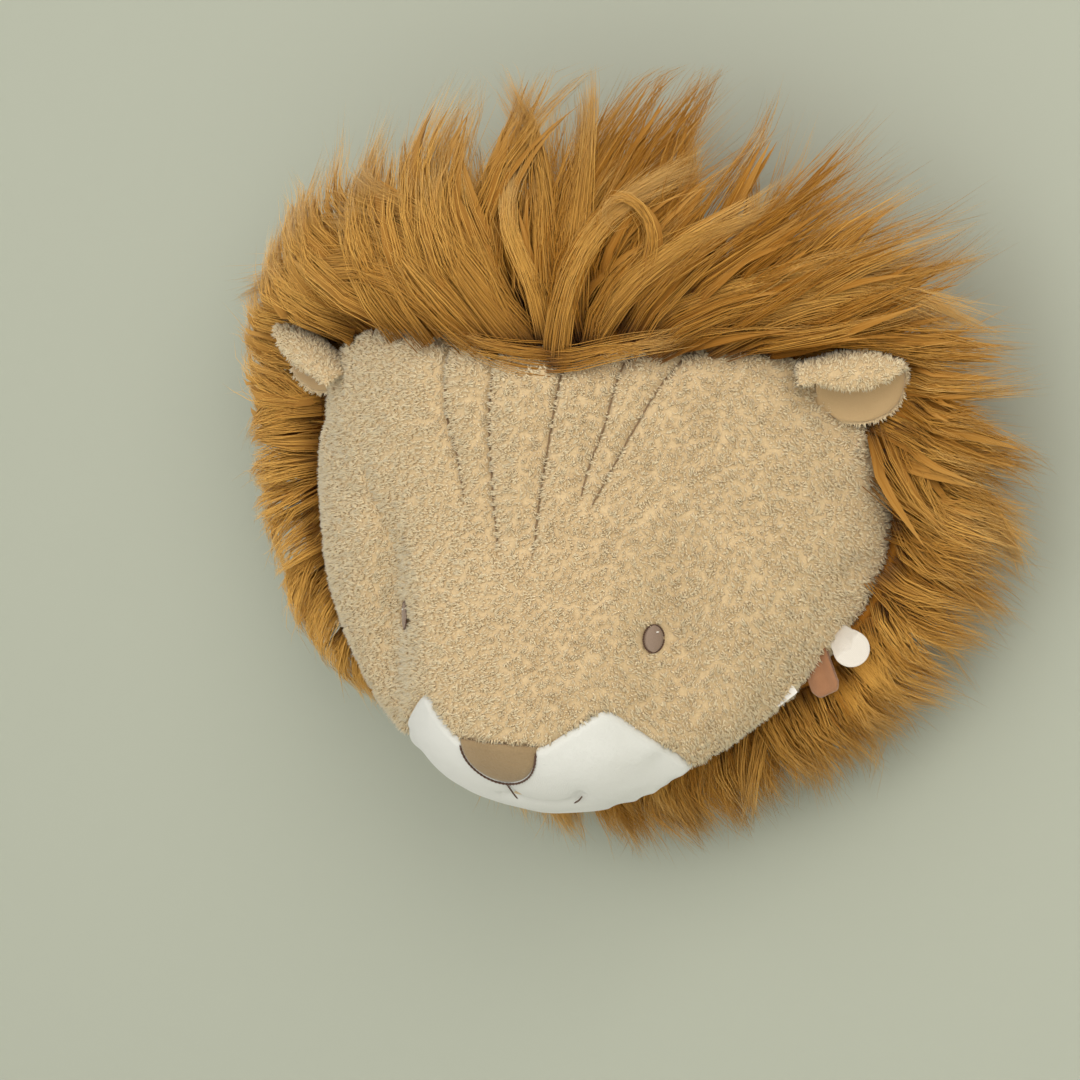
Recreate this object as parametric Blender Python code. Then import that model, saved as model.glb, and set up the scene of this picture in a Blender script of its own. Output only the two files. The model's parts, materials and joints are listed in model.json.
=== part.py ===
"""Lion head wall mask: a stuffed plush lion's head with a long fur mane on a flat back panel.

Metres, +Z up. The head hangs on a wall in the plane y = 0 and looks towards -Y. The origin is the
centre of the back panel's flat rear face. Depths are distances from the wall, so a depth d is at
y = -d. Left and right are those of a viewer who faces the head.
"""

import math

import bmesh
import bpy
import numpy as np
from mathutils import Matrix, Vector

# Overall form
GAP = 0.0003
HEAD_CENTRE_Z = -0.035
FACE_REAR = 0.040
HEAD_ANGLES = 72
HEAD_REACHES = [1.0, 0.988, 0.96, 0.91, 0.85, 0.77, 0.68, 0.58, 0.47, 0.34, 0.18]
IN_FRONT = 0.25

# Half outlines as (x, z), from the top centre down the right side to the bottom centre
FACE_OUTLINE = [
    (0.000, 0.060), (0.060, 0.062), (0.105, 0.058), (0.129, 0.036), (0.140, -0.008),
    (0.134, -0.046), (0.109, -0.086), (0.082, -0.115), (0.047, -0.1365), (0.000, -0.147),
]
MANE_OUTLINE = [
    (0.000, 0.177), (0.062, 0.173), (0.110, 0.153), (0.155, 0.124), (0.183, 0.078), (0.194, 0.018),
    (0.190, -0.034), (0.169, -0.080), (0.132, -0.120), (0.082, -0.151), (0.036, -0.170), (0.000, -0.177),
]
MUZZLE_OUTLINE = [
    (0.000, -0.107), (0.018, -0.108), (0.033, -0.099), (0.043, -0.092), (0.048, -0.092),
    (0.056, -0.100), (0.064, -0.110), (0.072, -0.124), (0.090, -0.170), (0.000, -0.180),
]

# Depth of the seam round the face, and the swells of the stuffed front
SEAM_DEPTH = 0.121
SEAM_CURVE = 3.1
CHIN_TOP_Z = -0.110
CHIN_CURVE = 11.7
CROWN = 0.008
SNOUT_RISE = 0.018
SNOUT_HALF_WIDTH = 0.055
SNOUT_TOP_Z = 0.045
SNOUT_LENGTH = 0.145
NOSE_RISE = 0.004
EYE_VALLEY = 0.007
CHEEK_RISE = 0.007
UNDERSIDE_TUCK = 0.38

# Features
NOSE_HALF_WIDTH = 0.0184
NOSE_TOP_Z = -0.107
NOSE_HEIGHT = 0.019
NOSE_PROUD = 0.0012
NOSE_REAR = 0.132
MUZZLE_REAR = 0.088
MUZZLE_LEFT_PEAK_IN = 0.13
EYE_X = 0.060
EYE_Z = -0.061
EYE_SIZE = (0.0105, 0.0024, 0.0122)
THREAD_RADIUS = 0.0006
MOUTH_CORNER = ((0.0240, -0.1357), (0.0300, -0.1310))
FOLD_DEPTH = 0.0016
FOLD_HALF_WIDTH = 0.0014
FOLD_STEPS = 8

# Mane
LOCKS = 34
STEPS_PER_LOCK = 4
LOCK_LIFT = 0.010
TIP_NOTCH = 0.027
TIP_UNEVEN = 0.30
ROW_NOTCH = 0.10
LEAN = math.radians(30)
MANE_STEPS = [0.05, 0.18, 0.36, 0.41, 0.55, 0.71, 0.76, 0.88, 1.0]
ROW_STARTS = [0.0, 0.39, 0.73]
ROW_ENDS = [0.36, 0.71, 1.0]
ROW_EDGES = {0.36: 0, 0.41: 0, 0.71: 1, 0.76: 1}
PART_ANGLE = math.radians(80)
CHIN_LIP_DEPTH = 0.052
EAR_ANGLES = (math.radians(38), math.radians(142))
EAR_DIP = 0.016
LABELS_ANGLE = math.radians(-21)
LABELS_DIP = 0.012
TIP_DEPTH = (0.026, 0.046)
PUFF = (0.006, 0.028)

# Back panel
PANEL_HALF_WIDTH = 0.112
PANEL_HALF_HEIGHT = 0.092
PANEL_THICKNESS = 0.006
FUR_BACK = 0.002
MANE_CLEARANCE = 0.0018

# Ears, for the right one; the left one mirrors it
# The right ear is spread and faces forwards, and the left one is folded nearly shut.
EAR_ROOT = {"right": Vector((0.1125, -0.084, 0.0490)), "left": Vector((0.1105, -0.087, 0.0415))}
EAR_ALONG = {"right": Vector((0.90, 0.42, 0.02)), "left": Vector((0.78, 0.30, 0.38))}
EAR_OPENS = {"right": Vector((0.30, -0.82, -0.48)), "left": Vector((0.80, -0.10, -0.60))}
EAR_LENGTH = {"right": 0.043, "left": 0.046}
EAR_FRONT_WIDTH = {"right": 0.0205, "left": 0.0210}
EAR_REAR_WIDTH = {"right": 0.0285, "left": 0.0340}
EAR_FRONT_ROLL = {"right": 0.0130, "left": 0.0092}
EAR_REAR_ROLL = {"right": 0.0330, "left": 0.0150}
EAR_ARCH = 0.0030
EAR_BOW = {"right": 0.0040, "left": 0.0}
EAR_CLEARANCE = 0.0012
EAR_SKIN_GAP = 0.0006
EAR_PLUSH = 0.0022
EAR_LINING = 0.0012
EAR_START = -0.004
EAR_SHARES_ALONG = [0.0, 0.3, 0.55, 0.76, 0.92, 1.0]
EAR_STEPS_ACROSS = 12

# Labels in the seam at the lower right
TAB_PLACE = Vector((0.1195, -0.078, -0.0810))
TAB_SIZE = (0.022, 0.0034, 0.013)
TAB_LEAN = math.radians(62)
TAG_PLACE = Vector((0.1325, -0.078, -0.0665))
TAG_RADIUS = 0.0088
TAG_THICKNESS = 0.0012
TAG_FACES = Vector((0.38, -0.92, 0.05))
LABEL_PLACE = Vector((0.1050, -0.086, -0.0875))
LABEL_SIZE = (0.010, 0.0007, 0.014)
LABEL_LEAN = math.radians(50)

MATERIALS = {
    "beige_plush": ((0.62, 0.47, 0.28), 0.95),
    "white_velour": ((0.88, 0.85, 0.79), 0.90),
    "brown_velour": ((0.25, 0.16, 0.09), 0.85),
    "ear_velour": ((0.60, 0.43, 0.27), 0.90),
    "mane_fur": ((0.48, 0.23, 0.055), 0.80),
    "eye_thread": ((0.14, 0.09, 0.075), 0.55),
    "mouth_thread": ((0.08, 0.045, 0.03), 0.60),
    "back_fabric": ((0.55, 0.42, 0.26), 0.95),
    "brown_suede": ((0.34, 0.16, 0.07), 0.75),
    "tag_fabric": ((0.86, 0.82, 0.75), 0.70),
}


def smooth_step(value):
    value = np.clip(value, 0.0, 1.0)
    return value * value * (3 - 2 * value)


def bell(distance, width, power=2):
    return np.exp(-(np.abs(distance) / width) ** power)


def whole_outline(half):
    """The closed outline that a right half and its mirror image make, as a smooth curve's points."""
    corners = np.array(half + [(-x, z) for x, z in half[-2:0:-1]])
    before, after, far = (np.roll(corners, shift, axis=0) for shift in (1, -1, -2))
    curve = []
    for t in np.arange(12) / 12:
        curve.append(
            0.5 * (2 * corners + (after - before) * t
                   + (2 * before - 5 * corners + 4 * after - far) * t**2
                   + (3 * corners - before - 3 * after + far) * t**3)
        )
    return np.stack(curve, axis=1).reshape(-1, 2)


def radius_of(half):
    """A function that gives an outline's distance from the head's centre at an angle."""
    points = whole_outline(half)
    offset = points - (0.0, HEAD_CENTRE_Z)
    angle = np.arctan2(offset[:, 1], offset[:, 0])
    radius = np.hypot(offset[:, 0], offset[:, 1])
    return lambda theta: np.interp(theta, angle, radius, period=2 * math.pi)


face_radius = radius_of(FACE_OUTLINE)
mane_radius = radius_of(MANE_OUTLINE)


def seam_depth(x, z):
    chin = np.maximum(CHIN_TOP_Z - z, 0.0)
    return SEAM_DEPTH - SEAM_CURVE * x**2 - CHIN_CURVE * chin**2


def head_depth(x, z):
    """Depth of the head's front at (x, z): the seam's depth plus the swell of the stuffing."""
    reach = np.hypot(x, z - HEAD_CENTRE_Z) / face_radius(np.arctan2(z - HEAD_CENTRE_Z, x))
    rounding = np.sqrt(1 - np.clip(reach, 0, 1) ** 5)
    side = np.abs(x)
    snout = SNOUT_RISE * smooth_step((SNOUT_TOP_Z - z) / SNOUT_LENGTH) * bell(x, SNOUT_HALF_WIDTH, 6)
    nose = NOSE_RISE * bell(x, 0.034) * bell(z - NOSE_TOP_Z, 0.024)
    valley = EYE_VALLEY * bell(side - 0.067, 0.010) * bell(z - EYE_Z, 0.034)
    cheek = CHEEK_RISE * bell(side - 0.100, 0.030) * bell(z + 0.045, 0.050)
    return seam_depth(x, z) + rounding * (CROWN + snout + nose + cheek - valley)


def head_normal(x, z):
    step = 0.001
    slope_x = (head_depth(x + step, z) - head_depth(x - step, z)) / (2 * step)
    slope_z = (head_depth(x, z + step) - head_depth(x, z - step)) / (2 * step)
    return Vector((-slope_x, -1.0, -slope_z)).normalized()


def on_head(x, z, proud=0.0):
    return Vector((x, -float(head_depth(x, z)), z)) + head_normal(x, z) * proud


def material(name):
    found = bpy.data.materials.get(name)
    if found:
        return found
    colour, roughness = MATERIALS[name]
    found = bpy.data.materials.new(name)
    found.use_nodes = True
    shader = found.node_tree.nodes["Principled BSDF"]
    shader.inputs["Base Color"].default_value = (*colour, 1.0)
    shader.inputs["Roughness"].default_value = roughness
    found.diffuse_color = (*colour, 1.0)
    return found


def new_object(name, mesh, finish):
    """Links a mesh, made with outward normals and smooth shading, as an object."""
    work = bmesh.new()
    work.from_mesh(mesh)
    bmesh.ops.recalc_face_normals(work, faces=work.faces)
    work.to_mesh(mesh)
    work.free()
    mesh.shade_smooth()
    mesh.set_sharp_from_angle(angle=math.radians(50))
    shape = bpy.data.objects.new(name, mesh)
    bpy.context.scene.collection.objects.link(shape)
    mesh.materials.append(material(finish))
    return shape


def ring_solid(name, rings, finish):
    """A closed solid through rings of points, each closed to the next, with its two ends capped."""
    work = bmesh.new()
    loops = [[work.verts.new(point) for point in ring] for ring in rings]
    count = len(rings[0])
    for first, second in zip(loops, loops[1:]):
        for i in range(count):
            j = (i + 1) % count
            work.faces.new((first[i], first[j], second[j], second[i]))
    for loop in (loops[0], loops[-1]):
        middle = work.verts.new(sum((v.co for v in loop), Vector()) / count)
        for i in range(count):
            work.faces.new((loop[i], loop[(i + 1) % count], middle))
    mesh = bpy.data.meshes.new(name)
    work.to_mesh(mesh)
    work.free()
    return new_object(name, mesh, finish)


def shell_solid(name, outer, inner, finish):
    """A closed solid between two grids of points with the same rows and columns."""
    work = bmesh.new()
    sides = [[[work.verts.new(point) for point in row] for row in grid] for grid in (outer, inner)]
    rows, columns = len(outer), len(outer[0])
    for side in sides:
        for i in range(rows - 1):
            for j in range(columns - 1):
                work.faces.new((side[i][j], side[i][j + 1], side[i + 1][j + 1], side[i + 1][j]))
    rim = [(0, j) for j in range(columns)] + [(i, columns - 1) for i in range(1, rows)]
    rim += [(rows - 1, j) for j in range(columns - 2, -1, -1)] + [(i, 0) for i in range(rows - 2, 0, -1)]
    for (i, j), (k, m) in zip(rim, rim[1:] + rim[:1]):
        work.faces.new((sides[0][i][j], sides[0][k][m], sides[1][k][m], sides[1][i][j]))
    mesh = bpy.data.meshes.new(name)
    work.to_mesh(mesh)
    work.free()
    return new_object(name, mesh, finish)


def hide_as_cutter(shape):
    shape.hide_render = True
    shape.display_type = "WIRE"
    return shape


def boolean(shape, cutter, operation):
    step = shape.modifiers.new(operation.title() + " " + cutter.name, "BOOLEAN")
    step.operation = operation
    step.object = cutter
    step.solver = "EXACT"
    return step


def head_angles():
    return np.arange(HEAD_ANGLES) * 2 * math.pi / HEAD_ANGLES


def rear_radius(theta):
    """Outline of the head at its rear plane: tucked in underneath, towards the wall."""
    return face_radius(theta) * (1 - UNDERSIDE_TUCK * smooth_step(-np.sin(theta) * 1.25))


def ring_at(theta, radius, depth):
    x = radius * np.cos(theta)
    z = HEAD_CENTRE_Z + radius * np.sin(theta)
    return [tuple(point) for point in np.stack([x, -depth + 0 * x, z], axis=1)]


def head_form(name, finish, grow=0.0):
    """The whole stuffed head in front of its rear plane, grown all round by a margin."""
    theta = head_angles()
    edge = face_radius(theta)
    rings = [ring_at(theta, rear_radius(theta) + grow, FACE_REAR - grow)]
    for reach in HEAD_REACHES:
        x = edge * reach * np.cos(theta)
        z = HEAD_CENTRE_Z + edge * reach * np.sin(theta)
        out = grow * reach**4
        rings.append(ring_at(theta, edge * reach + out, head_depth(x, z) + grow))
    return ring_solid(name, rings, finish)


def prism(name, outline, front, rear):
    """A closed upright prism along Y through an outline of (x, z) points."""
    rings = [[(x, -depth, z) for x, z in outline] for depth in (front, rear)]
    return hide_as_cutter(ring_solid(name, rings, "back_fabric"))


def muzzle_outline(grow=0.0):
    half = [(x + grow * (0.02 < x), z + grow) for x, z in MUZZLE_OUTLINE[:-2]] + MUZZLE_OUTLINE[-2:]
    left = [(-x * (1 - MUZZLE_LEFT_PEAK_IN * bell(x - 0.044, 0.016)), z) for x, z in half[-2:0:-1]]
    return half + left


def nose_outline(grow=0.0):
    turn = np.linspace(0, math.pi, 17)
    x = (NOSE_HALF_WIDTH + grow) * np.cos(turn)
    z = NOSE_TOP_Z + grow - (NOSE_HEIGHT + 2 * grow) * np.sin(turn) ** 0.9
    return list(zip(x, z))


def turned(point, direction):
    """A matrix that puts local -Y along a direction at a point, keeping local Z as upright as it can."""
    front = -direction.normalized()
    side = front.cross(Vector((0, 0, 1))).normalized()
    up = side.cross(front)
    return Matrix.Translation(point) @ Matrix((side, front, up)).transposed().to_4x4()


def eye(name, side, grow=0.0):
    """A low oval dome of stitching, half sunk in the plush."""
    bpy.ops.mesh.primitive_uv_sphere_add(segments=16, ring_count=6, radius=0.5)
    shape = bpy.context.active_object
    shape.name = name
    shape.data.transform(Matrix.Diagonal((*(size + 2 * grow for size in EYE_SIZE), 1.0)))
    x = side * EYE_X
    shape.data.transform(turned(on_head(x, EYE_Z), head_normal(x, EYE_Z)))
    shape.data.materials.append(material("eye_thread"))
    shape.data.shade_smooth()
    return shape


def fold_lines():
    """The creases sewn into the forehead, each from its top to its lower end, as (x, z)."""
    return [
        [(-0.0170, 0.050), (-0.0185, 0.028), (-0.0145, -0.002), (-0.0085, -0.029)],
        [(0.0170, 0.050), (0.0125, 0.028), (0.0090, -0.002), (0.0085, -0.029)],
        [(-0.0430, 0.050), (-0.0410, 0.030), (-0.0340, 0.012), (-0.0280, -0.006)],
        [(0.0430, 0.050), (0.0370, 0.030), (0.0310, 0.012), (0.0280, -0.003)],
        [(0.0620, 0.050), (0.0540, 0.036), (0.0430, 0.015), (0.0325, -0.007)],
        [(-0.0870, 0.000), (-0.0830, -0.008), (-0.0720, -0.024), (-0.0630, -0.042)],
    ]


def fold_cutter():
    """Slim wedges along the sewn creases, all in one cutter."""
    work = bmesh.new()
    for line in fold_lines():
        points = np.array(line)
        spread = np.linspace(0, len(line) - 1, FOLD_STEPS)
        path = [(float(np.interp(s, range(len(line)), points[:, 0])),
                 float(np.interp(s, range(len(line)), points[:, 1]))) for s in spread]
        sections = []
        for i, (x, z) in enumerate(path):
            ahead, behind = path[min(i + 1, len(path) - 1)], path[max(i - 1, 0)]
            along = (on_head(*ahead) - on_head(*behind)).normalized()
            out = head_normal(x, z)
            across = along.cross(out).normalized()
            fade = 0.35 + 0.65 * math.sin(math.pi * (i + 1) / (len(path) + 1))
            floor = on_head(x, z) - out * FOLD_DEPTH * fade
            top = on_head(x, z) + out * FOLD_DEPTH
            sections.append([work.verts.new(p) for p in (
                floor, top + across * FOLD_HALF_WIDTH * 2, top - across * FOLD_HALF_WIDTH * 2)])
        for first, second in zip(sections, sections[1:]):
            for i in range(3):
                j = (i + 1) % 3
                work.faces.new((first[i], first[j], second[j], second[i]))
        work.faces.new(sections[0])
        work.faces.new(sections[-1][::-1])
    mesh = bpy.data.meshes.new("fold_cutter")
    work.to_mesh(mesh)
    work.free()
    return hide_as_cutter(new_object("fold_cutter", mesh, "back_fabric"))


def lip_depth(theta):
    """Depth at which the fur starts round the head: at the face's seam, but far back under the chin."""
    x = face_radius(theta) * np.cos(theta)
    z = HEAD_CENTRE_Z + face_radius(theta) * np.sin(theta)
    seam = seam_depth(x, z) - 0.003
    under = smooth_step((-np.sin(theta) - 0.30) / 0.45)
    ears = sum(bell(np.angle(np.exp(1j * (theta - angle))), 0.17, 4) for angle in EAR_ANGLES)
    labels = bell(np.angle(np.exp(1j * (theta - LABELS_ANGLE))), 0.20, 4)
    return seam * (1 - under) + CHIN_LIP_DEPTH * under - EAR_DIP * ears - LABELS_DIP * labels


def tooth(phase):
    """A wave that is 1 at the middle of a lock and 0 where two locks meet."""
    return 1 - np.abs(2 * (phase % 1.0) - 1)


def lock_lift(phase, step):
    """Height of the overlapping rows of locks above the fur's mean surface."""
    lift = np.zeros_like(phase)
    for row, (start, end) in enumerate(zip(ROW_STARTS, ROW_ENDS)):
        if start <= step <= end:
            along = (step - start) / (end - start)
            width = 1.02 - 0.85 * along
            ridge = np.clip(1 - (1 - tooth(phase + 0.5 * row)) / width, 0, 1)
            lift += LOCK_LIFT * (0.35 + 0.65 * along) * ridge
    return lift


def mane_rings():
    """Rings of the fur, from the front of its hidden core, out over the locks and back to the wall."""
    count = LOCKS * STEPS_PER_LOCK
    theta = np.arange(count) * 2 * math.pi / count
    phase = theta * LOCKS / (2 * math.pi) + 0.5
    lip = lip_depth(theta)
    edge = face_radius(theta)
    seam = seam_depth(edge * np.cos(theta), HEAD_CENTRE_Z + edge * np.sin(theta))
    share = np.clip((lip - FACE_REAR) / (seam - FACE_REAR), 0, 1)
    lip_radius = rear_radius(theta) + share * (face_radius(theta) - rear_radius(theta)) + MANE_CLEARANCE
    rings = [
        ring_at(theta, rear_radius(theta) * 0.97, FACE_REAR - 2 * GAP),
        ring_at(theta, rear_radius(theta) + MANE_CLEARANCE, FACE_REAR - 2 * GAP),
        ring_at(theta, lip_radius, lip),
    ]
    spread = np.sin(3.1 * np.floor(phase) ** 1.5)
    lean = np.tan(LEAN * np.tanh(2.2 * np.sin(theta - PART_ANGLE)))
    length = mane_radius(theta) - lip_radius
    top = smooth_step(np.sin(theta))
    tip_depth = TIP_DEPTH[0] + (TIP_DEPTH[1] - TIP_DEPTH[0]) * top
    puff = PUFF[0] + (PUFF[1] - PUFF[0]) * top
    for step in MANE_STEPS:
        bend = lean * length * step**1.3 / (lip_radius + length * step)
        notch = 1 - tooth(phase) * (1 - TIP_UNEVEN * (1 + spread))
        outer = mane_radius(theta + bend) - TIP_NOTCH * notch
        share = np.full(count, step)
        if step in ROW_EDGES:
            share -= ROW_NOTCH * (1 - tooth(phase + 0.5 * ROW_EDGES[step]))
        radius = lip_radius + (outer - lip_radius) * share
        ease = share**1.25
        depth = lip * (1 - ease) + tip_depth * ease + puff * np.sin(math.pi * np.minimum(1.0, share + 0.04))
        lift = lock_lift(phase, step)
        if step == MANE_STEPS[-1]:
            lift = 0 * lift
        rings.append(ring_at(theta + bend, radius, depth + lift))
    back = panel_radius(theta)
    rings.append(ring_at(theta + 0.8 * bend, 0.30 * back + 0.70 * outer, FUR_BACK + 0.003))
    rings.append(ring_at(theta, back + 2 * GAP, FUR_BACK))
    rings.append(ring_at(theta, back + 2 * GAP, PANEL_THICKNESS + GAP))
    return rings


def panel_radius(theta):
    """Distance from the head's centre to the back panel's oval edge, which is centred on the origin."""
    u, v = np.cos(theta) / PANEL_HALF_WIDTH, np.sin(theta) / PANEL_HALF_HEIGHT
    w = HEAD_CENTRE_Z / PANEL_HALF_HEIGHT
    a, b, c = u * u + v * v, v * w, w * w - 1
    return (-b + np.sqrt(b * b - a * c)) / a


def back_panel():
    theta = head_angles()
    x, z = PANEL_HALF_WIDTH * np.cos(theta), PANEL_HALF_HEIGHT * np.sin(theta)
    rings = []
    for inset, depth in ((0.0, 0.0), (0.0, PANEL_THICKNESS)):
        rings.append(list(zip(x * (1 - inset), -depth + 0 * x, z * (1 - inset))))
    return ring_solid("back_panel", rings, "back_fabric")


def ear_point(word, along, across, inward):
    """A point of the cupped ear: flat petal coordinates rolled tightly to the front and loosely to the rear."""
    axis = EAR_ALONG[word].normalized()
    opens = (EAR_OPENS[word] - axis * EAR_OPENS[word].dot(axis)).normalized()
    forward = axis.cross(opens)
    if forward.y > 0:
        forward = -forward
    roll = EAR_FRONT_ROLL[word] if across > 0 else EAR_REAR_ROLL[word]
    turn = across / roll
    near = roll - inward
    arc = math.sin(math.pi * min(max(along / EAR_LENGTH[word], 0.0), 1.0))
    middle = EAR_ROOT[word] + axis * along + opens * (roll - EAR_ARCH * arc) + forward * EAR_BOW[word] * arc
    return middle + forward * near * math.sin(turn) - opens * near * math.cos(turn)


def ear_grid(word, inward, shares):
    """The ear's surface at a distance inside its outer skin, out to the last of the shares of its length."""
    grid = []
    for i in range(EAR_STEPS_ACROSS + 1):
        t = -1 + 2 * i / EAR_STEPS_ACROSS
        t = math.copysign(abs(t) ** 0.85, t)
        width = EAR_FRONT_WIDTH[word] if t > 0 else EAR_REAR_WIDTH[word]
        reach = (0.34 + 0.66 * (1 - abs(t) ** 2.3) ** 0.5) * EAR_LENGTH[word]
        row = []
        for share in shares:
            along = EAR_START + (reach - EAR_START) * share
            swell = 0.46 + 0.54 * float(smooth_step(along / EAR_LENGTH[word] / 0.46))
            row.append(ear_point(word, along, t * width * swell, inward))
        grid.append(row)
    return grid


def mirrored(grid, side):
    return [[Vector((side * p.x, p.y, p.z)) for p in row] for row in grid]


def ear_clearance(word, side):
    """A rounded form a little larger than the ear, which the fur behind it is hollowed by."""
    work = bmesh.new()
    shifts = [sign * EAR_CLEARANCE * axis for sign in (-1, 1) for axis in Matrix.Identity(3)]
    for skin in (0.0, EAR_PLUSH + EAR_SKIN_GAP + EAR_LINING):
        for row in mirrored(ear_grid(word, skin, EAR_SHARES_ALONG), side):
            for point in row:
                for shift in shifts:
                    work.verts.new(point + shift)
    bmesh.ops.convex_hull(work, input=work.verts)
    bmesh.ops.delete(work, geom=[v for v in work.verts if not v.link_faces], context="VERTS")
    mesh = bpy.data.meshes.new("ear_clearance_" + word)
    work.to_mesh(mesh)
    work.free()
    return hide_as_cutter(new_object("ear_clearance_" + word, mesh, "back_fabric"))


def ears(head_cutter, mane):
    for side, word in ((1, "right"), (-1, "left")):
        whole, trimmed = EAR_SHARES_ALONG, EAR_SHARES_ALONG[:-1]
        skins = (0.0, EAR_PLUSH, EAR_PLUSH + EAR_SKIN_GAP, EAR_PLUSH + EAR_SKIN_GAP + EAR_LINING)
        grids = [mirrored(ear_grid(word, skin, share), side)
                 for skin, share in zip(skins, (whole, whole, trimmed, trimmed))]
        plush = shell_solid(f"ear_{word}", *grids[:2], "beige_plush")
        lining = shell_solid(f"ear_lining_{word}", *grids[2:], "ear_velour")
        for shape in (plush, lining):
            boolean(shape, head_cutter, "DIFFERENCE")
        boolean(mane, ear_clearance(word, side), "DIFFERENCE")


def thread(name, points):
    """A raised line of stitching along (x, z) points on the head."""
    curve = bpy.data.curves.new(name, "CURVE")
    curve.dimensions = "3D"
    curve.bevel_depth = THREAD_RADIUS
    curve.bevel_resolution = 2
    curve.use_fill_caps = True
    spline = curve.splines.new("POLY")
    spline.points.add(len(points) - 1)
    for node, (x, z) in zip(spline.points, points):
        node.co = (*on_head(x, z, THREAD_RADIUS + 2 * GAP), 1.0)
    shape = bpy.data.objects.new(name, curve)
    bpy.context.scene.collection.objects.link(shape)
    curve.materials.append(material("mouth_thread"))
    return shape


def mouth():
    """The two stitches of dark thread: one down from the nose, one at the right corner of the mouth."""
    low = NOSE_TOP_Z - NOSE_HEIGHT
    thread("mouth_stitch_centre", [(0.0, low - 0.001 - 0.0075 * t) for t in np.linspace(0, 1, 5)])
    start, end = MOUTH_CORNER
    corner = zip(np.linspace(start[0], end[0], 5), np.linspace(start[1], end[1], 5))
    thread("mouth_stitch_corner", list(corner))


def placed_box(name, size, matrix, finish, bevel):
    bpy.ops.mesh.primitive_cube_add(size=1.0)
    shape = bpy.context.active_object
    shape.name = name
    shape.data.transform(Matrix.Diagonal((*size, 1.0)))
    shape.data.transform(matrix)
    rounding = shape.modifiers.new("Rounding", "BEVEL")
    rounding.width = bevel
    rounding.segments = 2
    shape.data.materials.append(material(finish))
    return shape


def tag_rings():
    """A round tag that narrows like a drop to the seam at its upper left."""
    to_seam = math.radians(140)
    opening = math.radians(52)
    turns = np.linspace(to_seam + opening, to_seam + 2 * math.pi - opening, 33)
    outline = [(TAG_RADIUS * math.cos(t), TAG_RADIUS * math.sin(t)) for t in turns]
    for side in (-0.45, 0.45):
        reach = TAG_RADIUS * 1.5
        outline.append((reach * math.cos(to_seam + side), reach * math.sin(to_seam + side)))
    outline[-2:] = outline[:-3:-1]
    facing = turned(TAG_PLACE, TAG_FACES)
    return [[facing @ Vector((x, depth, z)) for x, z in outline]
            for depth in (-TAG_THICKNESS / 2, TAG_THICKNESS / 2)]


def labels(head_cutter, mane_cutter):
    """The folded tab, the round tag and the care label, sewn into the seam at the lower right."""
    tab_matrix = Matrix.Translation(TAB_PLACE) @ Matrix.Rotation(TAB_LEAN, 4, "Y")
    label_matrix = Matrix.Translation(LABEL_PLACE) @ Matrix.Rotation(LABEL_LEAN, 4, "Y")
    tab = placed_box("loop_tab", TAB_SIZE, tab_matrix, "brown_suede", 0.0012)
    label = placed_box("care_label", LABEL_SIZE, label_matrix, "tag_fabric", 0.0001)
    tag = ring_solid("round_tag", tag_rings(), "tag_fabric")
    for shape in (tab, label, tag):
        for cutter in (head_cutter, mane_cutter):
            boolean(shape, cutter, "DIFFERENCE")


def head():
    """The plush face, the velour muzzle and the nose patch, all cut from the one stuffed form."""
    face = head_form("face", "beige_plush")
    muzzle = head_form("muzzle", "white_velour")
    nose = head_form("nose", "brown_velour", grow=NOSE_PROUD)
    boolean(face, prism("muzzle_pocket", muzzle_outline(GAP), IN_FRONT, MUZZLE_REAR - GAP), "DIFFERENCE")
    boolean(muzzle, prism("muzzle_prism", muzzle_outline(), IN_FRONT, MUZZLE_REAR), "INTERSECT")
    boolean(nose, prism("nose_prism", nose_outline(), IN_FRONT, NOSE_REAR), "INTERSECT")
    pocket = prism("nose_pocket", nose_outline(GAP), IN_FRONT, NOSE_REAR - GAP)
    boolean(muzzle, pocket, "DIFFERENCE")
    boolean(face, pocket, "DIFFERENCE")
    boolean(face, fold_cutter(), "DIFFERENCE")
    for side, word in ((-1, "left"), (1, "right")):
        eye(f"eye_{word}", side)
        boolean(face, hide_as_cutter(eye(f"eye_pocket_{word}", side, GAP)), "DIFFERENCE")


def main():
    for old in list(bpy.data.objects):
        bpy.data.objects.remove(old)
    head()
    mane = ring_solid("mane", mane_rings(), "mane_fur")
    back_panel()
    head_cutter = hide_as_cutter(head_form("head_clearance", "back_fabric", grow=2 * GAP))
    ears(head_cutter, mane)
    mouth()
    labels(head_cutter, mane)


main()
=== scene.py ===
"""Looks of the lion head wall mask: plush, velour, embroidery and long fur, fitted round its solids.

Metres, +Z up. The wall is the plane y = 0 and the head looks towards -Y, so a depth d is at y = -d.
Left and right are those of a viewer who faces the head.
"""

import json
import logging
import math
from collections.abc import Callable, Sequence
from dataclasses import dataclass, field
from enum import Enum

import bmesh
import bpy
import numpy as np
from mathutils import Matrix, Vector
from mathutils.bvhtree import BVHTree
from mathutils.kdtree import KDTree

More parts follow.
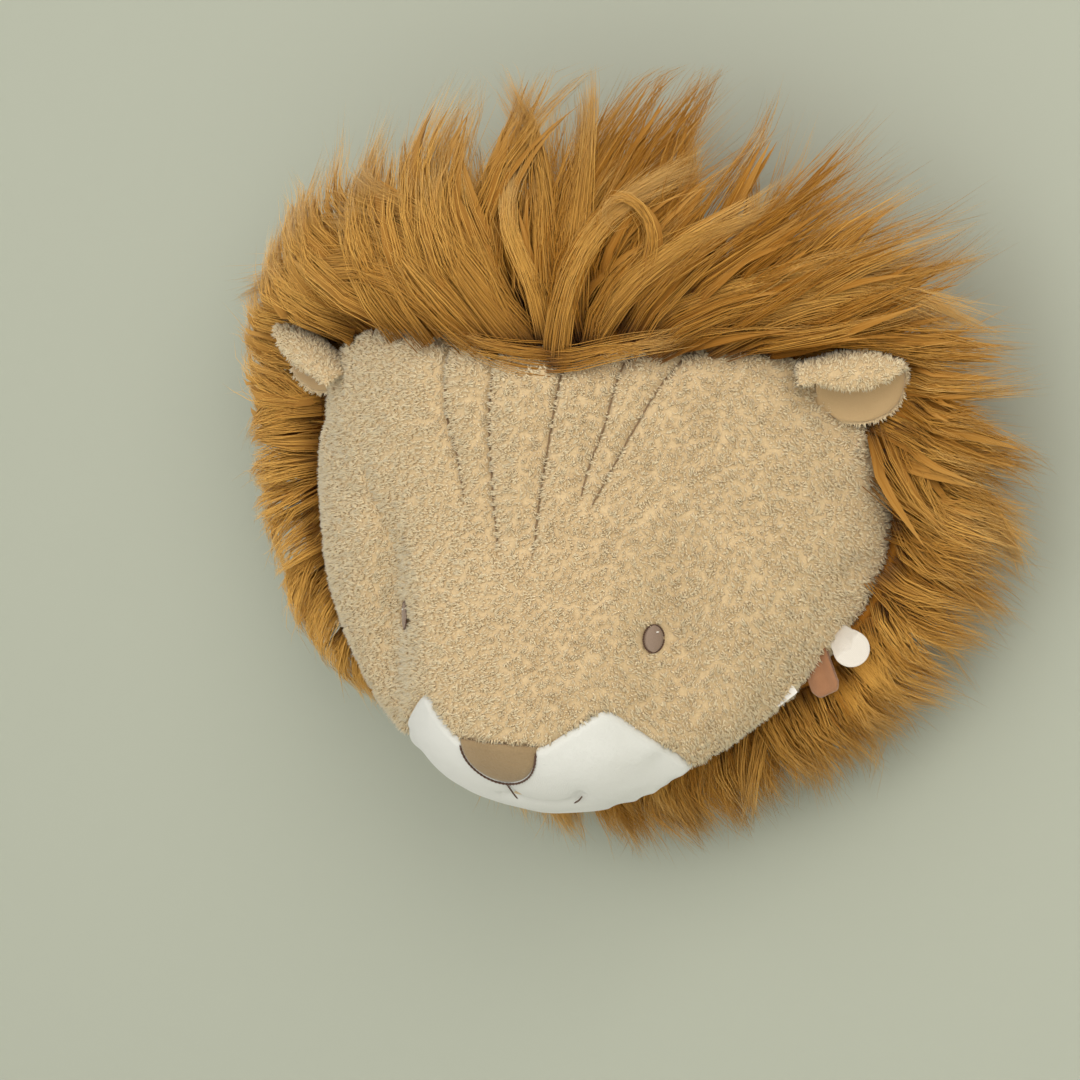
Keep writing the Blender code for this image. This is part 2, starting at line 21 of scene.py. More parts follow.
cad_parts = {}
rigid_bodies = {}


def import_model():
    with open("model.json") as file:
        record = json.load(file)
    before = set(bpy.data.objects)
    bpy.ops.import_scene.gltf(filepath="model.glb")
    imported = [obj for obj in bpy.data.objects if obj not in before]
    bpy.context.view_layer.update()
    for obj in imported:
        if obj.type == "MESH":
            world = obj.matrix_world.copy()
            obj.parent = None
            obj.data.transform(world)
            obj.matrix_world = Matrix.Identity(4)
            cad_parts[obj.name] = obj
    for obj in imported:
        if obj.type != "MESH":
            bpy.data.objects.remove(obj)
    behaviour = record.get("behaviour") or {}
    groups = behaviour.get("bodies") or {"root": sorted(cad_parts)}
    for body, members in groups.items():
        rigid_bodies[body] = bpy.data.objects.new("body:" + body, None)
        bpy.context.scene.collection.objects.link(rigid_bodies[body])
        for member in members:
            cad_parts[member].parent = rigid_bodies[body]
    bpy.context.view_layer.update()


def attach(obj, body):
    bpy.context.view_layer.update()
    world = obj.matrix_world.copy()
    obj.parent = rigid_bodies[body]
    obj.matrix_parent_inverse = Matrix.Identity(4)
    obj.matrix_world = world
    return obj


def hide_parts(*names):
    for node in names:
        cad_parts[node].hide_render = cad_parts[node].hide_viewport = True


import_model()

log = logging.getLogger("lion_head")
Colour = tuple[float, float, float]
Triple = tuple[float, float, float]
Locks = dict[str, np.ndarray]
LOCK_POINTS = 17


# Shapes shared by all pieces


def smooth_step(value: np.ndarray | float) -> np.ndarray:
    """A soft step from 0 to 1 over the same range."""
    value = np.clip(value, 0.0, 1.0)
    return value * value * (3 - 2 * value)


def bell(distance: np.ndarray | float, width: float, power: float = 2) -> np.ndarray:
    """A bump that is 1 at distance 0 and falls off over a width."""
    return np.exp(-(np.abs(distance) / width) ** power)


def whole_outline(half: Sequence[tuple[float, float]], steps: int = 12) -> np.ndarray:
    """Closes a half outline with its mirror image and rounds it.

    Args:
        half: (x, z) points from the top centre down the right side to the bottom centre.
        steps: Points drawn between two of the given ones.

    Returns:
        The outline's points, one to a row.
    """
    corners = np.array(list(half) + [(-x, z) for x, z in half[-2:0:-1]])
    before, after, far = (np.roll(corners, shift, axis=0) for shift in (1, -1, -2))
    curve = []
    for t in np.arange(steps) / steps:
        curve.append(
            0.5 * (2 * corners + (after - before) * t
                   + (2 * before - 5 * corners + 4 * after - far) * t**2
                   + (3 * corners - before - 3 * after + far) * t**3)
        )
    return np.stack(curve, axis=1).reshape(-1, 2)


def distance_to_line(points: np.ndarray, line: np.ndarray) -> np.ndarray:
    """The distance of (x, z) points to an open line of (x, z) points."""
    best = np.full(len(points), np.inf)
    for start, end in zip(line[:-1], line[1:]):
        along = end - start
        share = np.clip(((points - start) @ along) / max(along @ along, 1e-12), 0, 1)
        gap = points - (start + share[:, None] * along)
        best = np.minimum(best, np.hypot(gap[:, 0], gap[:, 1]))
    return best


def inside(points: np.ndarray, outline: np.ndarray) -> np.ndarray:
    """Which (x, z) points lie inside a closed outline."""
    hits = np.zeros(len(points), bool)
    x, z = points[:, 0], points[:, 1]
    for (x0, z0), (x1, z1) in zip(outline, np.roll(outline, -1, axis=0)):
        crosses = (z0 > z) != (z1 > z)
        with np.errstate(divide="ignore", invalid="ignore"):
            hits ^= crosses & (x < (x1 - x0) * (z - z0) / (z1 - z0) + x0)
    return hits


def smooth_line(points: Sequence[Sequence[float]], count: int) -> np.ndarray:
    """A rounded open line through points, at even shares of its length."""
    corners = np.array([points[0], *points, points[-1]], float)
    pieces = []
    for a, b, c, d in zip(corners[:-3], corners[1:-2], corners[2:-1], corners[3:]):
        t = np.linspace(0, 1, 16, endpoint=False)[:, None]
        pieces.append(0.5 * (2 * b + (c - a) * t + (2 * a - 5 * b + 4 * c - d) * t**2
                             + (3 * b - a - 3 * c + d) * t**3))
    dense = np.vstack([*pieces, corners[-1:]])
    gone = np.concatenate([[0], np.cumsum(np.linalg.norm(np.diff(dense, axis=0), axis=1))])
    wanted = np.linspace(0, gone[-1], count)
    return np.stack([np.interp(wanted, gone, dense[:, i]) for i in range(dense.shape[1])], axis=1)


def unit(vectors: np.ndarray) -> np.ndarray:
    """Vectors of length one, along the last axis."""
    return vectors / np.maximum(np.linalg.norm(vectors, axis=-1, keepdims=True), 1e-12)


# Finishes


class Tone:
    """A shader socket that takes part in Python arithmetic."""

    def __init__(self, graph: "Graph", socket: bpy.types.NodeSocket) -> None:
        """Keeps the socket and the graph that it belongs to."""
        self.graph = graph
        self.socket = socket

    def __add__(self, other: "Tone | float") -> "Tone":
        """The sum of two values."""
        return self.graph.maths("ADD", self, other)

    def __sub__(self, other: "Tone | float") -> "Tone":
        """The difference of two values."""
        return self.graph.maths("SUBTRACT", self, other)

    def __rsub__(self, other: float) -> "Tone":
        """A number less this value."""
        return self.graph.maths("SUBTRACT", other, self)

    def __mul__(self, other: "Tone | float") -> "Tone":
        """The product of two values."""
        return self.graph.maths("MULTIPLY", self, other)

    __radd__ = __add__
    __rmul__ = __mul__


class Graph:
    """The nodes of one material round its Principled shader."""

    def __init__(self, name: str, roughness: float, sheen: float = 0.0) -> None:
        """Makes a material with the constants of its shader set.

        Args:
            name: The material's name.
            roughness: The same all over the surface unless it is fed later.
            sheen: Strength of the soft edge light that cloth has.
        """
        self.material = bpy.data.materials.new(name)
        self.material.use_nodes = True
        self.tree = self.material.node_tree
        self.shader = self.tree.nodes["Principled BSDF"]
        self.shader.inputs["Roughness"].default_value = roughness
        self.shader.inputs["Specular IOR Level"].default_value = 0.25
        self.shader.inputs["Sheen Weight"].default_value = sheen
        self.shader.inputs["Sheen Roughness"].default_value = 0.45

    def add(self, kind: str, settings: dict | None = None, values: dict | None = None,
            output: int = 0) -> Tone:
        """Adds one node.

        Args:
            kind: The node's type.
            settings: Its properties, set first; "stops" fills a colour ramp.
            values: Numbers, colours or tones for its sockets, by index or name.
            output: The socket that is handed back.

        Returns:
            The chosen output.
        """
        node = self.tree.nodes.new(kind)
        for key, value in (settings or {}).items():
            if key == "stops":
                ramp = node.color_ramp.elements
                while len(ramp) < len(value):
                    ramp.new(0.5)
                for stop, (place, colour) in zip(ramp, value):
                    stop.position = place
                    stop.color = (*colour, 1.0)
            else:
                setattr(node, key, value)
        for key, value in (values or {}).items():
            if isinstance(value, Tone):
                self.tree.links.new(value.socket, node.inputs[key])
            else:
                node.inputs[key].default_value = value
        return Tone(self, node.outputs[output])

    def maths(self, operation: str, first: Tone | float, second: Tone | float) -> Tone:
        """A Math node on two values."""
        return self.add("ShaderNodeMath", {"operation": operation}, {0: first, 1: second})

    def place(self) -> Tone:
        """The point of the surface in metres."""
        return self.add("ShaderNodeTexCoord", output=3)

    def scaled(self, vector: Tone, x: float, y: float, z: float) -> Tone:
        """A vector stretched along the three axes."""
        return self.add("ShaderNodeVectorMath", {"operation": "MULTIPLY"}, {0: vector, 1: (x, y, z)})

    def noise(self, vector: Tone, scale: float, detail: float = 2.0, rough: float = 0.5) -> Tone:
        """Soft noise from 0 to 1."""
        return self.add("ShaderNodeTexNoise", None,
                        {"Vector": vector, "Scale": scale, "Detail": detail, "Roughness": rough})

    def wave(self, vector: Tone, scale: float, direction: str, distortion: float = 0.0) -> Tone:
        """Even bands along one axis."""
        return self.add("ShaderNodeTexWave", {"bands_direction": direction},
                        {"Vector": vector, "Scale": scale, "Distortion": distortion}, output=1)

    def ramp(self, value: Tone, stops: Sequence[tuple[float, Colour]]) -> Tone:
        """Colours along a value."""
        return self.add("ShaderNodeValToRGB", {"stops": stops}, {0: value})

    def mix(self, share: Tone | float, first: Tone | Colour, second: Tone | Colour) -> Tone:
        """One colour turned into another by a share."""
        pair = [tone if isinstance(tone, Tone) else (*tone, 1.0) for tone in (first, second)]
        return self.add("ShaderNodeMix", {"data_type": "RGBA"}, {0: share, 6: pair[0], 7: pair[1]}, output=2)

    def feed(self, socket: str, tone: Tone) -> None:
        """Links a tone to a socket of the shader."""
        self.tree.links.new(tone.socket, self.shader.inputs[socket])

    def bump(self, height: Tone, depth: float, strength: float = 1.0) -> None:
        """Turns a height from 0 to 1 into relief of a depth in metres."""
        self.feed("Normal", self.add("ShaderNodeBump", None,
                                     {"Height": height, "Distance": depth, "Strength": strength}))


@dataclass(frozen=True)
class PlushFinish:
    """The short-pile cloth under the tufts."""

    name: str
    dark: Colour
    light: Colour

    def build(self) -> bpy.types.Material:
        """Makes the material, mottled like brushed pile."""
        graph = Graph(self.name, 0.95, 0.3)
        place = graph.place()
        pile = graph.noise(place, 520, 3, 0.6)
        patches = graph.noise(place, 60, 2)
        graph.feed("Base Color", graph.mix(pile * 0.75 + patches * 0.35, self.dark, self.light))
        graph.bump(pile + graph.noise(place, 1500, 2) * 0.5, 0.0012, 0.8)
        return graph.material


@dataclass(frozen=True)
class TuftFinish:
    """Pile or hair whose colour runs from root to tip, for its dimmest and for its palest strands."""

    name: str
    deep: tuple[tuple[float, Colour], ...]
    pale: tuple[tuple[float, Colour], ...]
    roughness: float = 0.75
    sheen: float = 0.25
    streaks: float = 0.0

    def build(self) -> bpy.types.Material:
        """Makes the material from the strand map: across is a strand's own tone, up is root to tip."""
        graph = Graph(self.name, self.roughness, self.sheen)
        graph.shader.inputs["Specular IOR Level"].default_value = 0.06
        chart = graph.add("ShaderNodeUVMap", {"uv_map": STRAND_MAP})
        tone, along = (graph.add("ShaderNodeSeparateXYZ", None, {0: chart}, output=axis) for axis in (0, 1))
        if self.streaks:
            fine = graph.noise(graph.scaled(chart, 420, 1.6, 1), 1.0, 2, 0.6)
            tone = graph.add("ShaderNodeClamp", None, {0: tone + (fine - 0.5) * self.streaks})
        # Where a finish's ramps darken towards the root, that is painted shade deep in the pile or coat.
        graph.feed("Base Color", graph.mix(tone, graph.ramp(along, self.deep), graph.ramp(along, self.pale)))
        return graph.material


@dataclass(frozen=True)
class VelourFinish:
    """Smooth short velour with a faint nap."""

    name: str
    dark: Colour
    light: Colour
    nap: float = 2200
    relief: float = 0.00025
    roughness: float = 0.85

    def build(self) -> bpy.types.Material:
        """Makes the material: fine nap over slow shading."""
        graph = Graph(self.name, self.roughness, 0.35)
        place = graph.place()
        fine = graph.noise(place, self.nap, 3, 0.65)
        slow = graph.noise(place, 45, 3)
        graph.feed("Base Color", graph.mix(fine * 0.45 + slow * 0.5, self.dark, self.light))
        graph.bump(fine + graph.noise(place, 380, 2) * 0.6, self.relief, 0.9)
        return graph.material


@dataclass(frozen=True)
class ThreadFinish:
    """Twisted sewing or embroidery thread."""

    name: str
    dark: Colour
    light: Colour
    roughness: float = 0.5

    def build(self) -> bpy.types.Material:
        """Makes the material with fine fibres."""
        graph = Graph(self.name, self.roughness, 0.2)
        fibre = graph.noise(graph.place(), 3500, 2)
        graph.feed("Base Color", graph.mix(fibre, self.dark, self.light))
        graph.bump(fibre, 0.0001, 0.7)
        return graph.material


@dataclass(frozen=True)
class WovenFinish:
    """Plain weave, its threads in two directions."""

    name: str
    dark: Colour
    light: Colour
    threads: float
    relief: float
    roughness: float = 0.8

    def build(self) -> bpy.types.Material:
        """Makes the material: two sets of bands that cross."""
        graph = Graph(self.name, self.roughness, 0.15)
        place = graph.place()
        warp = graph.wave(place, self.threads, "X", 0.4)
        weft = graph.wave(place, self.threads, "Z", 0.4)
        cloth = warp * weft + (1 - warp) * (1 - weft)
        worn = graph.noise(place, 70, 3)
        graph.feed("Base Color", graph.mix(cloth * 0.55 + worn * 0.45, self.dark, self.light))
        graph.bump(cloth, self.relief, 0.8)
        return graph.material


@dataclass(frozen=True)
class SuedeFinish:
    """Suede cloth, mottled where it was brushed."""

    name: str
    dark: Colour
    light: Colour

    def build(self) -> bpy.types.Material:
        """Makes the material with fine grain and slow marks."""
        graph = Graph(self.name, 0.85, 0.4)
        place = graph.place()
        grain = graph.noise(place, 1800, 4, 0.7)
        marks = graph.noise(place, 160, 3)
        graph.feed("Base Color", graph.mix(grain * 0.4 + marks * 0.6, self.dark, self.light))
        graph.bump(grain, 0.00025, 0.9)
        return graph.material


@dataclass(frozen=True)
class StageFinish:
    """The floor's or the backdrop's paint."""

    name: str
    colour: Colour
    one_sided: bool = False

    def build(self) -> bpy.types.Material:
        """Makes the material; a one-sided one is clear from behind."""
        graph = Graph(self.name, 0.9)
        graph.shader.inputs["Base Color"].default_value = (*self.colour, 1.0)
        if self.one_sided:
            behind = graph.add("ShaderNodeNewGeometry", output=6)
            clear = graph.add("ShaderNodeBsdfTransparent")
            both = graph.add("ShaderNodeMixShader", None,
                             {0: behind, 1: Tone(graph, graph.shader.outputs[0]), 2: clear})
            graph.tree.links.new(both.socket, graph.tree.nodes["Material Output"].inputs[0])
        return graph.material


STRAND_MAP = "Strand"
BAKE_MAP = "OFBake"
TONE_SPAN = 0.96
STRAND_WRAP = 0.024


class Cloth(Enum):
    """The finishes of the head."""

    PLUSH = PlushFinish("plush_backing", (0.42, 0.30, 0.16), (0.74, 0.57, 0.34))
    # Pile that is darker at the root: painted shade deep in the pile; across, the tones are the pile's own
    # random mottling.
    PILE = TuftFinish(
        "plush_pile",
        ((0.0, (0.48, 0.36, 0.21)), (0.5, (0.67, 0.53, 0.325)), (1.0, (0.76, 0.64, 0.42))),
        ((0.0, (0.57, 0.445, 0.28)), (0.5, (0.82, 0.69, 0.455)), (1.0, (0.87, 0.79, 0.58))),
        0.9, 0.3)
    WHITE = VelourFinish("white_velour_nap", (0.585, 0.585, 0.545), (0.675, 0.685, 0.665))
    NOSE = VelourFinish("nose_velour_nap", (0.18, 0.118, 0.052), (0.365, 0.262, 0.145), 1100, 0.0004)
    # Ear lining: the tan velour's own colour, darkened as painted shade of the hollow ear.
    LINING = VelourFinish("ear_velour_nap", (0.42, 0.28, 0.135), (0.54, 0.385, 0.205))
    # Mane strands darker at the root: painted shade deep in the coat, over the fur's golden colour that pales
    # to the tips.
    FUR = TuftFinish(
        "mane_strands",
        ((0.0, (0.23, 0.085, 0.008)), (0.2, (0.31, 0.125, 0.011)), (0.6, (0.37, 0.155, 0.015)),
         (1.0, (0.54, 0.270, 0.045))),
        ((0.0, (0.44, 0.210, 0.038)), (0.2, (0.66, 0.360, 0.078)), (0.6, (0.82, 0.490, 0.128)),
         (1.0, (0.95, 0.670, 0.290))),
        0.6, 0.05)
    # Lock bodies: a dimmer copy of the mane's colours, painted shade for the inner coat that the strands lie
    # on, darker still at the root.
    LOCKS = TuftFinish(
        "mane_lock_bodies",
        ((0.0, (0.15, 0.053, 0.006)), (0.25, (0.22, 0.085, 0.009)), (0.7, (0.27, 0.110, 0.012)),
         (1.0, (0.36, 0.165, 0.030))),
        ((0.0, (0.26, 0.115, 0.020)), (0.25, (0.36, 0.175, 0.036)), (0.7, (0.44, 0.235, 0.058)),
         (1.0, (0.52, 0.30, 0.09))),
        0.7, 0.05, 1.5)
    # Underlay: dim brown, darkest by the face's edge, painted shade for the depth of the coat seen between
    # the locks.
    UNDERFUR = TuftFinish(
        "mane_underfur",
        ((0.0, (0.24, 0.090, 0.010)), (0.5, (0.34, 0.140, 0.018)), (1.0, (0.42, 0.19, 0.030))),
        ((0.0, (0.30, 0.120, 0.015)), (0.5, (0.44, 0.195, 0.030)), (1.0, (0.54, 0.27, 0.050))),
        0.8, 0.1)
    BROWN_THREAD = ThreadFinish("brown_thread", (0.050, 0.022, 0.012), (0.115, 0.055, 0.030))
    # Thread in the forehead folds, darker than the plush: it is sewn there, and its dark brown also paints
    # the shade of the crease.
    FOLD_THREAD = ThreadFinish("fold_thread", (0.19, 0.120, 0.062), (0.31, 0.21, 0.12), 0.8)
    SATIN_THREAD = ThreadFinish("satin_thread", (0.185, 0.125, 0.090), (0.340, 0.250, 0.190), 0.4)
    # Painted highlight: the white of the glint on each satin eye.
    WHITE_THREAD = ThreadFinish("painted_eye_glint", (0.70, 0.66, 0.60), (0.88, 0.85, 0.80))
    SUEDE = SuedeFinish("tab_suede", (0.22, 0.095, 0.042), (0.40, 0.20, 0.10))
    TAPE = WovenFinish("tag_weave", (0.58, 0.53, 0.46), (0.74, 0.70, 0.64), 420, 0.00012)
    SATIN = WovenFinish("care_label_satin", (0.78, 0.77, 0.75), (0.90, 0.89, 0.87), 900, 0.00005, 0.4)
    BACKING = WovenFinish("back_cloth_weave", (0.42, 0.32, 0.20), (0.62, 0.50, 0.34), 150, 0.0004)


class Wardrobe:
    """Builds each finish once and dresses pieces in it."""

    def __init__(self) -> None:
        """Starts with nothing built."""
        self.built: dict[Cloth, bpy.types.Material] = {}

    def material(self, cloth: Cloth) -> bpy.types.Material:
        """The material of a finish."""
        if cloth not in self.built:
            self.built[cloth] = cloth.value.build()
        return self.built[cloth]

    def dress(self, piece: bpy.types.Object, cloth: Cloth, slot: str, *nodes: str,
              fill: float | None = None) -> None:
        """Gives a finished piece its material, its body and the nodes that it stands for.

        Args:
            piece: The finished piece.
            cloth: Its finish.
            slot: The record's material slot that it goes with; not used.
            nodes: The solids that it replaces.
            fill: For a stuffed piece, how full it is; not used.
        """
        piece.data.materials.clear()
        piece.data.materials.append(self.material(cloth))
        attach(piece, "root")
        if nodes:
            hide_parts(*nodes)
        triangles = sum(len(face.vertices) - 2 for face in piece.data.polygons)
        log.info("%s: %d triangles", piece.name, triangles)


# Mesh making


def select_only(piece: bpy.types.Object) -> None:
    """Makes one object the only selected and active one."""
    for other in bpy.context.view_layer.objects:
        other.select_set(False)
    piece.select_set(True)
    bpy.context.view_layer.objects.active = piece


def apply_modifiers(piece: bpy.types.Object) -> None:
    """Applies all of an object's modifiers in order."""
    select_only(piece)
    for modifier in list(piece.modifiers):
        bpy.ops.object.modifier_apply(modifier=modifier.name)


def mesh_piece(name: str, points: np.ndarray, faces: Sequence[np.ndarray]) -> bpy.types.Object:
    """Makes an object from points and groups of faces, shaded smooth.

    Args:
        name: The piece's name.
        points: One point to a row.
        faces: Arrays of point numbers, each with one size of face.

    Returns:
        The new object, linked to the scene.
    """
    mesh = bpy.data.meshes.new(name)
    mesh.vertices.add(len(points))
    mesh.vertices.foreach_set("co", np.asarray(points, np.float32).ravel())
    loops = np.concatenate([np.asarray(group).ravel() for group in faces])
    sizes = np.concatenate([np.full(len(group), np.asarray(group).shape[1]) for group in faces])
    mesh.loops.add(len(loops))
    mesh.loops.foreach_set("vertex_index", loops.astype(np.int32))
    mesh.polygons.add(len(sizes))
    mesh.polygons.foreach_set("loop_start", np.concatenate([[0], np.cumsum(sizes)[:-1]]).astype(np.int32))
    mesh.update(calc_edges=True)
    mesh.validate()
    mesh.shade_smooth()
    piece = bpy.data.objects.new(name, mesh)
    bpy.context.scene.collection.objects.link(piece)
    return piece


def points_of(piece: bpy.types.Object) -> np.ndarray:
    """The piece's points, one to a row."""
    flat = np.empty(len(piece.data.vertices) * 3, np.float32)
    piece.data.vertices.foreach_get("co", flat)
    return flat.reshape(-1, 3).astype(float)


def move_points(piece: bpy.types.Object, points: np.ndarray) -> None:
    """Writes the piece's points back."""
    piece.data.vertices.foreach_set("co", points.astype(np.float32).ravel())
    piece.data.update()


def normals_of(piece: bpy.types.Object) -> np.ndarray:
    """The normals at the piece's points."""
    flat = np.empty(len(piece.data.vertices) * 3, np.float32)
    piece.data.vertices.foreach_get("normal", flat)
    return flat.reshape(-1, 3).astype(float)


def tree_of(piece: bpy.types.Object) -> BVHTree:
    """A search tree of the piece's faces."""
    mesh = piece.data
    return BVHTree.FromPolygons([v.co for v in mesh.vertices], [p.vertices for p in mesh.polygons])


def face_outwards(piece: bpy.types.Object) -> None:
    """Turns all faces of a closed piece outwards."""
    work = bmesh.new()
    work.from_mesh(piece.data)
    bmesh.ops.recalc_face_normals(work, faces=work.faces)
    work.to_mesh(piece.data)
    work.free()
    piece.data.update()


def round_once(piece: bpy.types.Object) -> None:
    """Applies one step of smooth subdivision, after any modifier that the piece has."""
    rounder = piece.modifiers.new("Rounding", "SUBSURF")
    rounder.levels = rounder.render_levels = 1
    apply_modifiers(piece)
    piece.data.shade_smooth()


def full_turn(count: int) -> np.ndarray:
    """Even angles all the way round."""
    return np.arange(count) * 2 * math.pi / count


def tube_faces(rings: int, sides: int) -> np.ndarray:
    """Four-sided faces between rings of points that are numbered ring by ring."""
    ring, corner = np.meshgrid(np.arange(rings - 1), np.arange(sides), indexing="ij")
    after = (corner + 1) % sides
    start, end = ring * sides, (ring + 1) * sides
    return np.stack([start + corner, start + after, end + after, end + corner], -1).reshape(-1, 4)


def rings_piece(name: str, rings: Sequence[np.ndarray]) -> bpy.types.Object:
    """A closed solid through rings of points, with a fan over each end."""
    count = len(rings[0])
    points = np.vstack([*rings, rings[0].mean(axis=0), rings[-1].mean(axis=0)])
    around = np.arange(count)
    after = (around + 1) % count
    first, last = len(points) - 2, len(points) - 1
    far = (len(rings) - 1) * count
    caps = [np.stack([after, around, np.full(count, first)], 1),
            np.stack([far + around, far + after, np.full(count, last)], 1)]
    piece = mesh_piece(name, points, [tube_faces(len(rings), count), np.vstack(caps)])
    face_outwards(piece)
    return piece


def finer_near(piece: bpy.types.Object, close: Callable[[np.ndarray], np.ndarray], times: int) -> None:
    """Halves the faces near some feature, a number of times.

    Args:
        piece: The piece to refine.
        close: Says which face centres are near enough.
        times: How often they are halved.
    """
    work = bmesh.new()
    work.from_mesh(piece.data)
    for _ in range(times):
        centres = np.array([face.calc_center_median() for face in work.faces])
        chosen = close(centres)
        edges = {edge for face, take in zip(work.faces, chosen) if take for edge in face.edges}
        bmesh.ops.subdivide_edges(work, edges=list(edges), cuts=1, use_grid_fill=True)
        bmesh.ops.triangulate(work, faces=[face for face in work.faces if len(face.verts) > 4])
    work.to_mesh(piece.data)
    work.free()
    piece.data.update()
    piece.data.shade_smooth()


def at_places(paths: np.ndarray, rows: np.ndarray, places: np.ndarray) -> np.ndarray:
    """Points on some of the paths, at places counted in steps from their roots."""
    low = np.minimum(places.astype(int), paths.shape[1] - 2)
    part = (places - low)[..., None]
    return paths[rows[:, None], low] * (1 - part) + paths[rows[:, None], low + 1] * part


def strand_sides(paths: np.ndarray, outward: np.ndarray) -> tuple[np.ndarray, np.ndarray]:
    """The directions across strands and out of their flat faces, at each of their points."""
    along = unit(np.gradient(paths, axis=1))
    side = unit(np.cross(along, outward[:, None, :]))
    return side, np.cross(side, along)


def strands_piece(name: str, paths: np.ndarray, widths: np.ndarray, outward: np.ndarray, tones: np.ndarray,
                  thin: float = 0.6, sides: int = 3) -> bpy.types.Object:
    """Makes many tapered strands in one mesh, each closed from root to tip.

    Args:
        name: The piece's name.
        paths: (strands, points, 3) places from root to tip.
        widths: (strands, points) half widths; the last is not used, because the tip is a point.
        outward: (strands, 3) the side that each strand's flat face looks to.
        tones: (strands,) each strand's own tone from 0 to 1.
        thin: Thickness as a share of width.
        sides: Sides of a strand.

    Returns:
        The new object with its strand map.
    """
    count, steps = paths.shape[:2]
    side, over = strand_sides(paths, outward)
    turns = math.pi / 2 * (sides == 3) + np.arange(sides) * 2 * math.pi / sides
    ring = (side[:, :-1, None, :] * np.cos(turns)[None, None, :, None]
            + over[:, :-1, None, :] * (np.sin(turns) * thin)[None, None, :, None])
    ring = paths[:, :-1, None, :] + ring * widths[:, :-1, None, None]
    points = np.concatenate([ring.reshape(count, -1, 3), paths[:, -1:, :]], axis=1)
    each = points.shape[1]
    start = np.arange(count)[:, None] * each
    part, step_u = 1.0 / (steps - 1), STRAND_WRAP / sides
    quads, triangles, columns, rises = [], [], [], []

    def chart(corners: Sequence[float], spans: Sequence[float]) -> None:
        """Notes the map places of one face's corners on every strand."""
        columns.append(np.repeat(tones, len(corners)) * TONE_SPAN + np.tile(corners, count) * step_u)
        rises.append(np.tile(spans, count) * part)

    for step in range(steps - 2):
        for k in range(sides):
            m = (k + 1) % sides
            quads.append(start + np.array([step * sides + k, step * sides + m, (step + 1) * sides + m,
                                           (step + 1) * sides + k]))
            chart([k, k + 1, k + 1, k], [step, step, step + 1, step + 1])
    last = (steps - 2) * sides
    for k in range(sides):
        triangles.append(start + np.array([last + k, last + (k + 1) % sides, each - 1]))
        chart([k, k + 1, k + 0.5], [steps - 2, steps - 2, steps - 1])
    for k in range(1, sides - 1):
        triangles.append(start + np.array([0, k + 1, k]))
        chart([0.0, k + 1, k], [0.0, 0.1, 0.1])
    groups = [np.vstack(quads)] if quads else []
    piece = mesh_piece(name, points.reshape(-1, 3), [*groups, np.vstack(triangles)])
    flat = np.stack([np.concatenate(columns), np.concatenate(rises)], axis=1).astype(np.float32).ravel()
    for map_name in (STRAND_MAP, BAKE_MAP):
        piece.data.uv_layers.new(name=map_name).data.foreach_set("uv", flat)
    if sides == 4:
        ends = np.empty(len(piece.data.edges) * 2, np.int32)
        piece.data.edges.foreach_get("vertices", ends)
        place = ends.reshape(-1, 2) % each
        rim = (place % 2 == 0) | (place == each - 1)
        same = (place[:, 0] % 4 == place[:, 1] % 4) | (place == each - 1).any(axis=1)
        sharp = piece.data.attributes.new("sharp_edge", "BOOLEAN", "EDGE")
        sharp.data.foreach_set("value", rim.all(axis=1) & same)
    return piece


# The head


